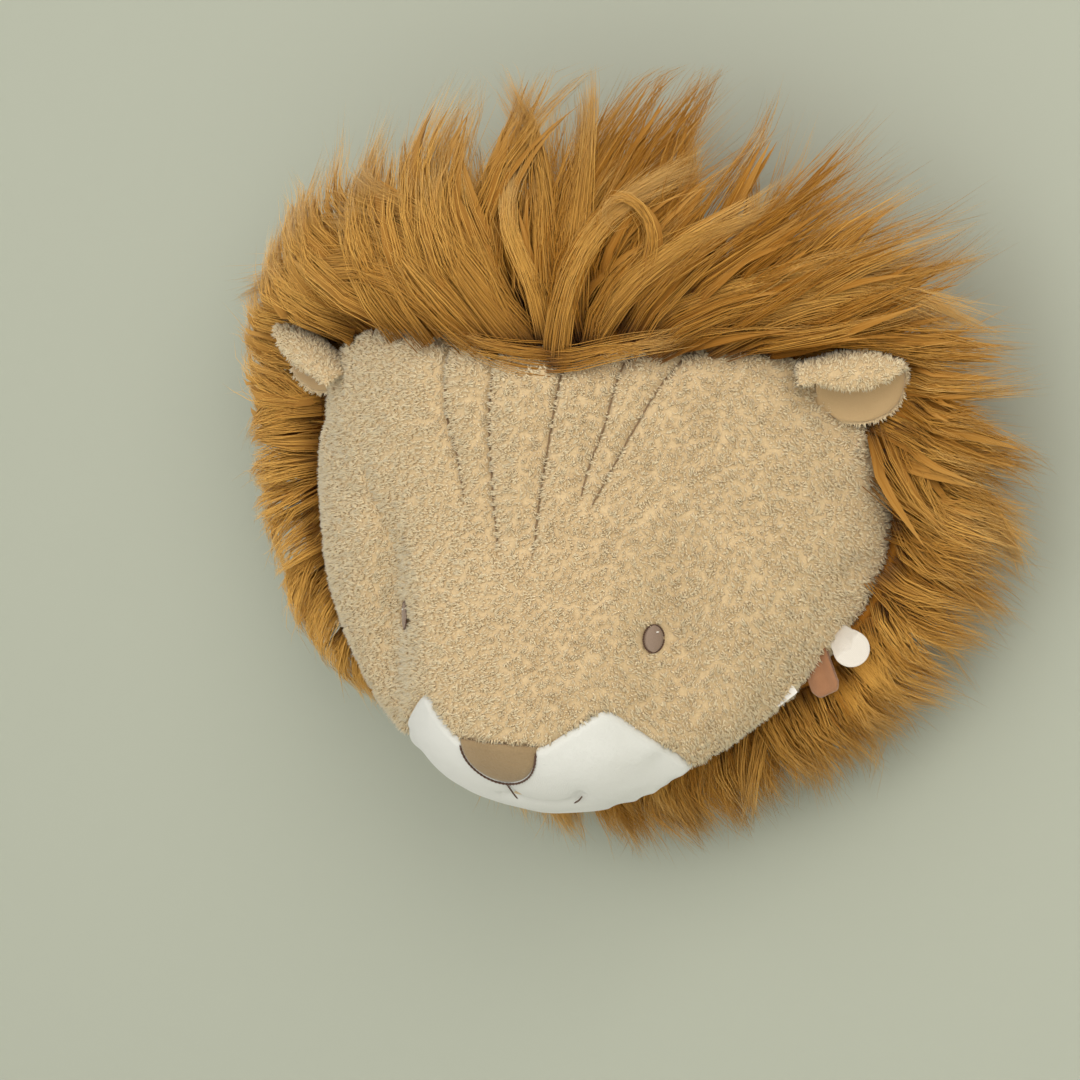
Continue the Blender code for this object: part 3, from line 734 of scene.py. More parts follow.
@dataclass
class HeadShape:
    """The outline and depth of the stuffed head, as its solids have them."""

    centre_z: float = -0.035
    rear_depth: float = 0.040
    half_outline: tuple = (
        (0.000, 0.060), (0.060, 0.062), (0.105, 0.058), (0.129, 0.036), (0.140, -0.008),
        (0.134, -0.046), (0.109, -0.086), (0.082, -0.115), (0.047, -0.1365), (0.000, -0.147),
    )
    mane_outline: tuple = (
        (0.000, 0.177), (0.062, 0.173), (0.110, 0.153), (0.155, 0.124), (0.183, 0.078), (0.194, 0.018),
        (0.190, -0.034), (0.169, -0.080), (0.132, -0.120), (0.082, -0.151), (0.036, -0.170), (0.000, -0.177),
    )
    underside_tuck: float = 0.38
    panel: tuple[float, float] = (0.112, 0.092)

    def __post_init__(self) -> None:
        """Draws both outlines as distances from the head's centre."""
        self.face_table = self._table(self.half_outline)
        self.mane_table = self._table(self.mane_outline)

    def _table(self, half: Sequence[tuple[float, float]]) -> tuple[np.ndarray, np.ndarray]:
        """An outline's angles and distances from the head's centre."""
        offset = whole_outline(half) - (0.0, self.centre_z)
        return np.arctan2(offset[:, 1], offset[:, 0]), np.hypot(offset[:, 0], offset[:, 1])

    def face_radius(self, theta: np.ndarray) -> np.ndarray:
        """Distance of the face's edge from the centre at an angle."""
        return np.interp(theta, *self.face_table, period=2 * math.pi)

    def mane_radius(self, theta: np.ndarray) -> np.ndarray:
        """Distance of the fur's outline from the centre at an angle."""
        return np.interp(theta, *self.mane_table, period=2 * math.pi)

    def rear_radius(self, theta: np.ndarray) -> np.ndarray:
        """Outline of the head at its rear, tucked in underneath."""
        return self.face_radius(theta) * (1 - self.underside_tuck * smooth_step(-np.sin(theta) * 1.25))

    def panel_radius(self, theta: np.ndarray) -> np.ndarray:
        """Outline of the back panel round the head's centre."""
        u, v = np.cos(theta) / self.panel[0], np.sin(theta) / self.panel[1]
        w = self.centre_z / self.panel[1]
        a, b, c = u * u + v * v, v * w, w * w - 1
        return (-b + np.sqrt(b * b - a * c)) / a

    def seam_depth(self, x: np.ndarray, z: np.ndarray) -> np.ndarray:
        """Depth of the seam round the face."""
        return 0.121 - 3.1 * x**2 - 11.7 * np.maximum(-0.110 - z, 0.0) ** 2

    def edge_depth(self, theta: np.ndarray) -> np.ndarray:
        """Depth of the seam at an angle."""
        edge = self.face_radius(theta)
        return self.seam_depth(edge * np.cos(theta), self.centre_z + edge * np.sin(theta))

    def lip_depth(self, theta: np.ndarray) -> np.ndarray:
        """Depth at which the fur starts: at the seam, but far back under the chin."""
        under = smooth_step((-np.sin(theta) - 0.30) / 0.45)
        return (self.edge_depth(theta) - 0.003) * (1 - under) + 0.052 * under

    def front_depth(self, x: np.ndarray, z: np.ndarray) -> np.ndarray:
        """Depth of the stuffed front."""
        reach = np.hypot(x, z - self.centre_z) / self.face_radius(np.arctan2(z - self.centre_z, x))
        rounding = np.sqrt(1 - np.clip(reach, 0, 1) ** 5)
        side = np.abs(x)
        snout = 0.018 * smooth_step((0.045 - z) / 0.145) * bell(x, 0.055, 6)
        nose = 0.004 * bell(x, 0.034) * bell(z + 0.107, 0.024)
        valley = 0.007 * bell(side - 0.067, 0.010) * bell(z + 0.061, 0.034)
        cheek = 0.007 * bell(side - 0.100, 0.030) * bell(z + 0.045, 0.050)
        return self.seam_depth(x, z) + rounding * (0.008 + snout + nose + cheek - valley)

    def ring(self, theta: np.ndarray, radius: np.ndarray, depth: np.ndarray) -> np.ndarray:
        """Points at angles, distances and depths."""
        depth = depth + 0 * theta
        return np.stack([radius * np.cos(theta), -depth, self.centre_z + radius * np.sin(theta)], axis=-1)


@dataclass
class StuffedHead:
    """Face, muzzle, nose, eyes and mouth, sewn from one stuffed form."""

    shape: HeadShape
    wardrobe: Wardrobe
    voxel: float = 0.0045
    pressure: float = 4.0
    frames: int = 20
    swell: float = 0.0035
    inset: float = 0.0012
    lower_edge: float = 0.0048
    pocket: float = 0.0022
    fold_depth: float = 0.0024
    front_from: float = 0.088
    muzzle_half: tuple = (
        (0.000, -0.107), (0.018, -0.108), (0.033, -0.099), (0.043, -0.092), (0.048, -0.092),
        (0.056, -0.100), (0.064, -0.110), (0.072, -0.124), (0.090, -0.170),
    )
    nose_size: tuple[float, float] = (0.0184, 0.019)
    nose_top: float = -0.107
    eye_place: tuple[float, float] = (0.060, -0.061)
    eye_half: tuple[float, float] = (0.0047, 0.0057)
    eye_margin: float = 0.0010
    mouth_corner: tuple = ((0.0240, -0.1357), (0.0272, -0.1337), (0.0300, -0.1310))
    folds: tuple = (
        ((-0.0170, 0.058), (-0.0185, 0.028), (-0.0145, -0.002), (-0.0085, -0.029)),
        ((0.0170, 0.058), (0.0125, 0.028), (0.0090, -0.002), (0.0085, -0.029)),
        ((-0.0430, 0.058), (-0.0410, 0.030), (-0.0340, 0.012), (-0.0280, -0.006)),
        ((0.0430, 0.058), (0.0370, 0.030), (0.0310, 0.012), (0.0280, -0.003)),
        ((0.0660, 0.058), (0.0540, 0.036), (0.0430, 0.015), (0.0325, -0.007)),
        ((-0.0870, 0.000), (-0.0830, -0.008), (-0.0720, -0.024), (-0.0630, -0.042)),
    )
    fold_strength: tuple = (1.0, 0.9, 1.0, 0.8, 0.8, 0.45)
    form: bpy.types.Object = field(init=False)
    tree: BVHTree = field(init=False)

    def build(self) -> None:
        """Makes every piece of the head's front."""
        self.form = self._stuffed_form()
        self.tree = tree_of(self.form)
        self.muzzle_line = self._muzzle_line()
        self.nose_line = self._nose_line()
        self._muzzle()
        self._nose()
        self._face()
        for side, word in ((-1, "left"), (1, "right")):
            self._eye(side, word)
        self._mouth()
        bpy.data.objects.remove(self.form)

    def _stuffed_form(self) -> bpy.types.Object:
        """The whole stuffed head: an evenly meshed cushion, swollen by cloth pressure."""
        theta = full_turn(120)
        fuller = bell(np.arctan2(np.sin(theta), np.abs(np.cos(theta))) + 0.42, 0.50)
        chin = bell(np.sin(theta) + 1.0, 0.16)
        edge = self.shape.face_radius(theta) - self.inset + self.lower_edge * (fuller + chin)
        rear, back = self.shape.rear_radius(theta) - self.inset, self.shape.rear_depth
        rings = [self.shape.ring(theta, rear * share, back + 0 * theta) for share in (0.5, 1.0)]
        seam = self.shape.edge_depth(theta)
        for share in (0.33, 0.66):
            rings.append(self.shape.ring(theta, rear + (edge - rear) * share, back + (seam - back) * share))
        for reach in np.sin(np.linspace(math.pi / 2, 0.06, 30)):
            x, z = edge * reach * np.cos(theta), self.shape.centre_z + edge * reach * np.sin(theta)
            rings.append(self.shape.ring(theta, edge * reach, self.shape.front_depth(x, z) - self.inset))
        form = rings_piece("stuffed_form", rings)
        remesh = form.modifiers.new("Even mesh", "REMESH")
        remesh.mode = "VOXEL"
        remesh.voxel_size = self.voxel
        apply_modifiers(form)
        self._inflate(form)
        round_once(form)
        return form

    def _inflate(self, form: bpy.types.Object) -> None:
        """Swells the form with cloth pressure, no point further than the swell allows."""
        before = points_of(form)
        held = form.vertex_groups.new(name="held")
        rear = np.flatnonzero(-before[:, 1] < self.shape.rear_depth + 0.006)
        held.add([int(i) for i in rear], 1.0, "REPLACE")
        cloth = form.modifiers.new("Stuffing", "CLOTH")
        cloth.settings.use_pressure = True
        cloth.settings.uniform_pressure_force = self.pressure
        cloth.settings.vertex_group_mass = "held"
        cloth.settings.effector_weights.gravity = 0.0
        cloth.settings.quality = 5
        cloth.point_cache.frame_start = 1
        cloth.point_cache.frame_end = self.frames
        for number in range(1, self.frames + 1):
            bpy.context.scene.frame_set(number)
        seen = form.evaluated_get(bpy.context.evaluated_depsgraph_get())
        flat = np.empty(len(before) * 3, np.float32)
        seen.data.vertices.foreach_get("co", flat)
        after = flat.reshape(-1, 3).astype(float)
        form.modifiers.remove(cloth)
        bpy.context.scene.frame_set(1)
        move = after - before
        far = np.linalg.norm(move, axis=1, keepdims=True)
        log.info("stuffing moved the form by up to %.1f mm", 1000 * float(far.max()))
        move_points(form, before + move * np.minimum(1.0, self.swell / np.maximum(far, 1e-9)))

    def on_form(self, x: float, z: float, proud: float = 0.0) -> tuple[Vector, Vector]:
        """The point and the normal of the stuffed front at (x, z)."""
        place, normal, _, _ = self.tree.ray_cast(Vector((x, -0.4, z)), Vector((0, 1, 0)))
        if place is None:
            place, normal, _, _ = self.tree.find_nearest(Vector((x, -0.11, z)))
        return place + normal * proud, normal

    def _muzzle_line(self) -> np.ndarray:
        """The closed outline of the white patch, its left peak a little nearer the middle."""
        half = self.muzzle_half
        left = [(-x * (1 - 0.13 * float(bell(x - 0.044, 0.016))), z) for x, z in half[:0:-1]]
        upper = smooth_line([*left, *half], 240)
        return np.vstack([upper, [(0.09, -0.19), (-0.09, -0.19)]])

    def _nose_line(self) -> np.ndarray:
        """The outline of the nose patch: flat on top and round below."""
        turn = np.linspace(0, math.pi, 61)
        x = self.nose_size[0] * np.cos(turn)
        z = self.nose_top - self.nose_size[1] * np.sin(turn) ** 0.9
        return np.stack([x, z], axis=1)

    def _copy_of_form(self, name: str) -> bpy.types.Object:
        """A new piece with the shape of the stuffed form."""
        copy = self.form.copy()
        copy.data = self.form.data.copy()
        copy.name = name
        bpy.context.scene.collection.objects.link(copy)
        return copy

    def _cut_from_form(self, name: str, outline: np.ndarray, rear: float, proud: float) -> bpy.types.Object:
        """The part of the stuffed form inside an upright outline, a little proud of it."""
        copy = self._copy_of_form(name)
        move_points(copy, points_of(copy) + normals_of(copy) * proud)
        rings = [np.stack([outline[:, 0], np.full(len(outline), -depth), outline[:, 1]], axis=1)
                 for depth in (0.25, rear)]
        cutter = rings_piece(name + "_cutter", rings)
        cut = copy.modifiers.new("Outline", "BOOLEAN")
        cut.operation = "INTERSECT"
        cut.object = cutter
        cut.solver = "EXACT"
        apply_modifiers(copy)
        bpy.data.objects.remove(cutter)
        return copy

    def _soften_edge(self, piece: bpy.types.Object, outline: np.ndarray, reach: float, drop: float) -> None:
        """Rounds a patch down into its seam."""
        close = reach * 1.6
        line = np.vstack([outline, outline[:1]])
        finer_near(piece, lambda at: (distance_to_line(at[:, [0, 2]], line) < close), 2)
        points = points_of(piece)
        gap = distance_to_line(points[:, [0, 2]], line)
        front = normals_of(piece)[:, 1] < 0.3
        down = drop * np.clip(1 - gap / reach, 0, 1) ** 2 * front
        facing = np.array([self.tree.find_nearest(Vector(p))[1] for p in points])
        move_points(piece, points - facing * down[:, None])

    def _muzzle(self) -> None:
        """The white velour patch, with the crease of the mouth pressed into it."""
        piece = self._cut_from_form("muzzle_velour", self.muzzle_line, 0.088, 0.0006)
        self._soften_edge(piece, self.muzzle_line, 0.0035, 0.0018)
        crease = smooth_line([(-0.008, -0.1352), (-0.002, -0.1352), (0.001, -0.1348), (0.006, -0.1372),
                              (0.014, -0.1382), (0.022, -0.1368), (0.0300, -0.1310)], 40)
        philtrum = np.array([(0.0, self.nose_top - self.nose_size[1]), (0.0, -0.1352)])

        def creased(at: np.ndarray) -> np.ndarray:
            """Which places lie near the mouth's crease."""
            return (distance_to_line(at[:, [0, 2]], crease) < 0.006) & (at[:, 1] < -0.11)

        finer_near(piece, creased, 1)
        points = points_of(piece)
        at = points[:, [0, 2]]
        gap = distance_to_line(at, crease)
        depth = 0.0013 * bell(gap, 0.0016) + 0.0012 * bell(gap, 0.005)
        depth += 0.0010 * bell(distance_to_line(at, philtrum), 0.0022)
        points -= normals_of(piece) * (depth * (points[:, 1] < -0.11))[:, None]
        move_points(piece, points)
        piece.data.shade_smooth()
        self.wardrobe.dress(piece, Cloth.WHITE, "white_velour", "muzzle", fill=0.8)

    def _nose(self) -> None:
        """The velour nose patch with its stitched edge."""
        piece = self._cut_from_form("nose_velour", self.nose_line, 0.132, 0.0016)
        self._soften_edge(piece, self.nose_line, 0.0028, 0.0012)
        self.wardrobe.dress(piece, Cloth.NOSE, "brown_velour", "nose")
        edge = self.nose_line[2:-2] * (0.985, 1.0) + (0, 0.0004)
        path = np.array([self.on_form(x, z, 0.0009)[0] for x, z in smooth_line(edge, 150)])
        rope = self._rope("nose_edge_stitch", path, 0.00050, 16)
        self.wardrobe.dress(rope, Cloth.BROWN_THREAD, "mouth_thread")

    def _rope(self, name: str, path: np.ndarray, radius: float, turns: float) -> bpy.types.Object:
        """Two strands of thread twisted round a path.

        Args:
            name: The piece's name.
            path: The rope's middle line.
            radius: Half the rope's width.
            turns: Twists along the whole path.

        Returns:
            The rope as one piece.
        """
        count = len(path)
        along = unit(np.gradient(path, axis=0))
        out = np.array([self.tree.find_nearest(Vector(p))[1] for p in path])
        side = unit(np.cross(along, out))
        over = np.cross(side, along)
        turn = np.linspace(0, turns * 2 * math.pi, count)
        spokes = np.arange(6) * math.pi / 3
        points, faces = [], []
        for strand in (0.0, math.pi):
            angle = turn + strand
            middle = path + (side * np.cos(angle)[:, None] + over * np.sin(angle)[:, None]) * radius * 0.48
            to_end = np.minimum(np.arange(count), np.arange(count)[::-1])
            taper = np.clip(to_end / 3.0, 0.25, 1)[:, None, None]
            ring = (side[:, None] * np.cos(spokes)[None, :, None]
                    + over[:, None] * np.sin(spokes)[None, :, None])
            first = sum(len(block) for block in points)
            points.append((middle[:, None] + ring * radius * 0.62 * taper).reshape(-1, 3))
            faces.append(first + tube_faces(count, 6))
        ends = []
        for strand in range(2):
            first = strand * count * 6
            for start, order in ((first, [3, 2, 1, 0]), (first + (count - 1) * 6, [0, 1, 2, 3])):
                ends.append([start + k for k in order])
                ends.append([start + k for k in ([0, 5, 4, 3] if order[0] == 3 else [0, 3, 4, 5])])
        piece = mesh_piece(name, np.vstack(points), [np.vstack(faces), np.array(ends)])
        face_outwards(piece)
        return piece

    def fold_gap(self, at: np.ndarray) -> tuple[np.ndarray, np.ndarray]:
        """Distance to the nearest forehead fold, and that fold's strength there."""
        gap, power = np.full(len(at), 1.0), np.zeros(len(at))
        for line, strength in zip(self.folds, self.fold_strength):
            path = smooth_line(line, 30)
            here = distance_to_line(at, path)
            low, high = path[-1], path[0]
            share = np.clip((high[1] - at[:, 1]) / (high[1] - low[1]), 0, 1)
            fade = strength * (1 - 0.55 * share**2)
            nearer = here < gap
            gap, power = np.where(nearer, here, gap), np.where(nearer, fade, power)
        return gap, power

    def _face(self) -> None:
        """The plush face: folds, seams and eye sockets pressed into the stuffed form."""
        piece = self._copy_of_form("face_plush")
        border = np.vstack([self.muzzle_line, self.muzzle_line[:1]])
        nose = np.vstack([self.nose_line, self.nose_line[:1]])

        def features(at: np.ndarray) -> np.ndarray:
            """Which places lie near a fold or the muzzle's seam."""
            flat = at[:, [0, 2]]
            near = (self.fold_gap(flat)[0] < 0.004) | (distance_to_line(flat, border) < 0.004)
            return near & (at[:, 1] < -0.10)

        finer_near(piece, features, 2)
        points = points_of(piece)
        normal = normals_of(piece)
        at = points[:, [0, 2]]
        front = points[:, 1] < -self.front_from
        gap, power = self.fold_gap(at)
        down = power * (self.fold_depth * bell(gap, 0.0016) + 0.0022 * bell(gap, 0.0065))
        patch = inside(at, self.muzzle_line) | inside(at, self.nose_line)
        edge = np.minimum(distance_to_line(at, border), distance_to_line(at, nose) + 0 * at[:, 0])
        down += np.where(patch, self.pocket, 0.0018 * bell(edge, 0.0018))
        for side in (-1, 1):
            x, z = at[:, 0] - side * self.eye_place[0], at[:, 1] - self.eye_place[1]
            down += 0.0016 * bell(np.hypot(x, z), 0.008)
        move_points(piece, points - normal * (down * front)[:, None])
        self.face = piece
        self.face_tree = tree_of(piece)
        self._fold_threads()
        self.wardrobe.dress(piece, Cloth.PLUSH, "beige_plush", "face", fill=0.9)

    def _fold_threads(self) -> None:
        """The thread that sews each clear forehead fold, at the bottom of its groove; its dark brown also
        paints the shade in the crease.
        """
        for number, (line, strength) in enumerate(zip(self.folds, self.fold_strength)):
            if strength < 0.5:
                continue
            path = []
            for x, z in smooth_line(line, 70):
                place, normal, _, _ = self.face_tree.ray_cast(Vector((x, -0.4, z)), Vector((0, 1, 0)))
                path.append(place + normal * 0.0006)
            rope = self._rope(f"fold_thread_{number + 1}", np.array(path), 0.00038, 14)
            self.wardrobe.dress(rope, Cloth.FOLD_THREAD, "beige_plush")

    def _eye(self, side: int, word: str) -> None:
        """An embroidered eye: rows of satin stitches and a dark outline, with a painted highlight: a short
        white rope where light glints on the satin.
        """
        middle, normal = self.on_form(side * self.eye_place[0], self.eye_place[1])
        front = -normal.normalized()
        across = front.cross(Vector((0, 0, 1))).normalized()
        up = across.cross(front)
        wide, high = self.eye_half
        points, faces, rows = [], [], 30
        spokes = np.arange(8) * math.pi / 4
        for row in range(rows):
            v = -1 + 2 * (row + 0.5) / rows
            half = wide * math.sqrt(max(1 - v * v, 0.02)) * (1 + 0.02 * math.sin(row * 2.4))
            t = np.linspace(-1, 1, 9)
            arch = 0.0010 * (1 - t**2) * (1 - 0.4 * v * v) + 0.0003
            centre = (np.array(middle)[None] + np.outer(t * half, across) + np.array(up) * (v * high)
                      - np.outer(arch, front))
            thick = 0.00026 * np.clip(1.25 - np.abs(t) ** 6, 0.3, 1)
            ring = (np.array(up)[None, None] * np.cos(spokes)[None, :, None]
                    - np.array(front)[None, None] * np.sin(spokes)[None, :, None])
            first = sum(len(block) for block in points)
            points.append((centre[:, None] + ring * thick[:, None, None]).reshape(-1, 3))
            faces.append(first + tube_faces(9, 8))
            for start in (first, first + 64):
                for a in (0, 2, 4):
                    faces.append(np.array([[start, start + a + 1, start + a + 2, start + (a + 3) % 8]]))
        eye = mesh_piece(f"eye_{word}_stitches", np.vstack(points), [np.vstack(faces)])
        face_outwards(eye)
        self.wardrobe.dress(eye, Cloth.SATIN_THREAD, "eye_thread", f"eye_{word}")
        turn = np.linspace(0, 2 * math.pi, 90)
        ring_path = (np.array(middle) - np.array(front) * 0.0005
                     + np.outer(np.cos(turn) * (wide + 0.0002), across)
                     + np.outer(np.sin(turn) * (high + 0.0002), up))
        rope = self._rope(f"eye_{word}_outline", ring_path, 0.00042, 18)
        self.wardrobe.dress(rope, Cloth.BROWN_THREAD, "eye_thread")
        # Painted highlight: a short white rope above the middle of the eye, where light glints on the satin.
        spot = np.array(middle) - np.array(front) * 0.0017 + np.array(across) * 0.0012 + np.array(up) * 0.0030
        line = spot + np.outer(np.linspace(-0.0007, 0.0007, 12), across)
        glint = self._rope(f"eye_{word}_painted_glint", line, 0.00035, 1)
        self.wardrobe.dress(glint, Cloth.WHITE_THREAD, "tag_fabric")

    def _mouth(self) -> None:
        """The two dark stitches of the mouth."""
        low = self.nose_top - self.nose_size[1]
        centre = smooth_line([(0.0, low + 0.0003), (0.0002, low - 0.004), (0.0, -0.1350)], 30)
        corner = smooth_line(self.mouth_corner, 26)
        for name, line, node, turns in (("mouth_centre_thread", centre, "mouth_stitch_centre", 5),
                                        ("mouth_corner_thread", corner, "mouth_stitch_corner", 4)):
            path = np.array([self.on_form(x, z, 0.0002)[0] for x, z in line])
            rope = self._rope(name, path, 0.00042, turns)
            self.wardrobe.dress(rope, Cloth.BROWN_THREAD, "mouth_thread", node)


@dataclass
class PlushPile:
    """The short tufts that stand on the face and ears, gathered in small clumps."""

    shape: HeadShape
    wardrobe: Wardrobe
    tufts: int = 34500
    clumps: int = 4300
    length: float = 0.0037
    width: float = 0.00062
    rooted: float = 0.0006

    def on_face(self, head: StuffedHead) -> None:
        """Covers the face, but not the muzzle, nose and eyes, in a left and a right piece."""
        def shown(at: np.ndarray) -> np.ndarray:
            """Which places aren't hidden under the fur."""
            theta = np.arctan2(at[:, 2] - self.shape.centre_z, at[:, 0])
            return -at[:, 1] > self.shape.lip_depth(theta) - 0.010

        for seed, side, word in ((11, -1, "left"), (12, 1, "right")):
            chance = np.random.default_rng(seed)
            root, normal = self._scatter(head.face, chance, self.tufts,
                                         lambda at, side=side: shown(at) & (side * at[:, 0] >= 0))
            keep = self._kept(root, head)
            self._piece(f"face_pile_{word}", root[keep], normal[keep], chance, self.clumps, self.length)

    def on_piece(self, name: str, piece: bpy.types.Object, seed: int, count: int,
                 bare: Callable[[np.ndarray, np.ndarray], np.ndarray]) -> None:
        """Covers a small piece with pile, but for the roots that are called bare."""
        chance = np.random.default_rng(seed)
        root, normal = self._scatter(piece, chance, count, lambda at: np.ones(len(at), bool))
        keep = ~bare(root, normal)
        self._piece(name, root[keep], normal[keep], chance, max(count // 9, 1), self.length * 0.8)

    def _scatter(self, piece: bpy.types.Object, chance: np.random.Generator, count: int,
                 wanted: Callable[[np.ndarray], np.ndarray]) -> tuple[np.ndarray, np.ndarray]:
        """Picks roots evenly by area on the wanted triangles, with their normals."""
        mesh = piece.data
        mesh.calc_loop_triangles()
        corner = np.empty(len(mesh.loop_triangles) * 3, np.int32)
        mesh.loop_triangles.foreach_get("vertices", corner)
        points, normals = points_of(piece), normals_of(piece)
        corner = corner.reshape(-1, 3)
        a, b, c = (points[corner[:, i]] for i in range(3))
        area = np.linalg.norm(np.cross(b - a, c - a), axis=1) / 2 * wanted((a + b + c) / 3)
        pick = chance.choice(len(corner), count, p=area / area.sum())
        u, v = chance.random((2, count))
        flip = u + v > 1
        u, v = np.where(flip, 1 - u, u), np.where(flip, 1 - v, v)
        root = a[pick] + (b - a)[pick] * u[:, None] + (c - a)[pick] * v[:, None]
        return root, unit(normals[corner[pick]].mean(axis=1))

    def _kept(self, root: np.ndarray, head: StuffedHead) -> np.ndarray:
        """Which roots are clear of the velour patches, the eyes and the bottoms of the folds."""
        at = root[:, [0, 2]]
        front = root[:, 1] < -head.front_from
        bare = (inside(at, head.muzzle_line) | inside(at, head.nose_line)) & front
        for side in (-1, 1):
            x, z = at[:, 0] - side * head.eye_place[0], at[:, 1] - head.eye_place[1]
            wide, high = (half + head.eye_margin for half in head.eye_half)
            bare |= (x / wide) ** 2 + (z / high) ** 2 < 1
        gap, power = head.fold_gap(at)
        bare |= (gap < 0.0014 * power) & front
        return ~bare

    def _piece(self, name: str, root: np.ndarray, normal: np.ndarray, chance: np.random.Generator,
               clumps: int, length: float) -> None:
        """Stands tufts on roots, each leaning to the tip of its clump."""
        count = len(root)
        heads = chance.choice(count, clumps, replace=False)
        nap = np.stack([0.25 * np.sign(root[heads, 0]), np.zeros(clumps), np.full(clumps, -0.45)], axis=1)
        nap += chance.normal(0, 0.55, (clumps, 3))
        nap -= normal[heads] * (nap * normal[heads]).sum(axis=1, keepdims=True)
        finder = KDTree(clumps)
        for number, place in enumerate(root[heads]):
            finder.insert(place, number)
        finder.balance()
        of = np.array([finder.find(place)[1] for place in root])
        peak = root[heads][of] + unit(normal[heads] + nap)[of] * length * 0.8
        own = chance.normal(0, 0.55, (count, 3))
        own -= normal * (own * normal).sum(axis=1, keepdims=True)
        tip = root + unit(normal + 0.8 * own) * (length * chance.uniform(0.55, 0.95, count))[:, None]
        pull = chance.uniform(0.25, 0.75, count)[:, None]
        tip = tip * (1 - pull) + peak * pull
        start = root - normal * self.rooted
        widths = np.stack([self.width * chance.uniform(0.75, 1.25, count), np.zeros(count)], axis=1)
        tones = np.clip(chance.normal(0.5, 0.13, clumps)[of] + chance.normal(0, 0.14, count), 0, 1)
        outward = unit(chance.normal(0, 1, (count, 3)))
        piece = strands_piece(name, np.stack([start, tip], axis=1), widths, outward, tones, 0.8)
        self.wardrobe.dress(piece, Cloth.PILE, "beige_plush")


# The mane


@dataclass(frozen=True)
class HeroLock:
    """A given lock: its middle line as (x, depth, z), half width, strands and tone."""

    line: tuple[Triple, ...]
    width: float
    strands: int
    tone: float


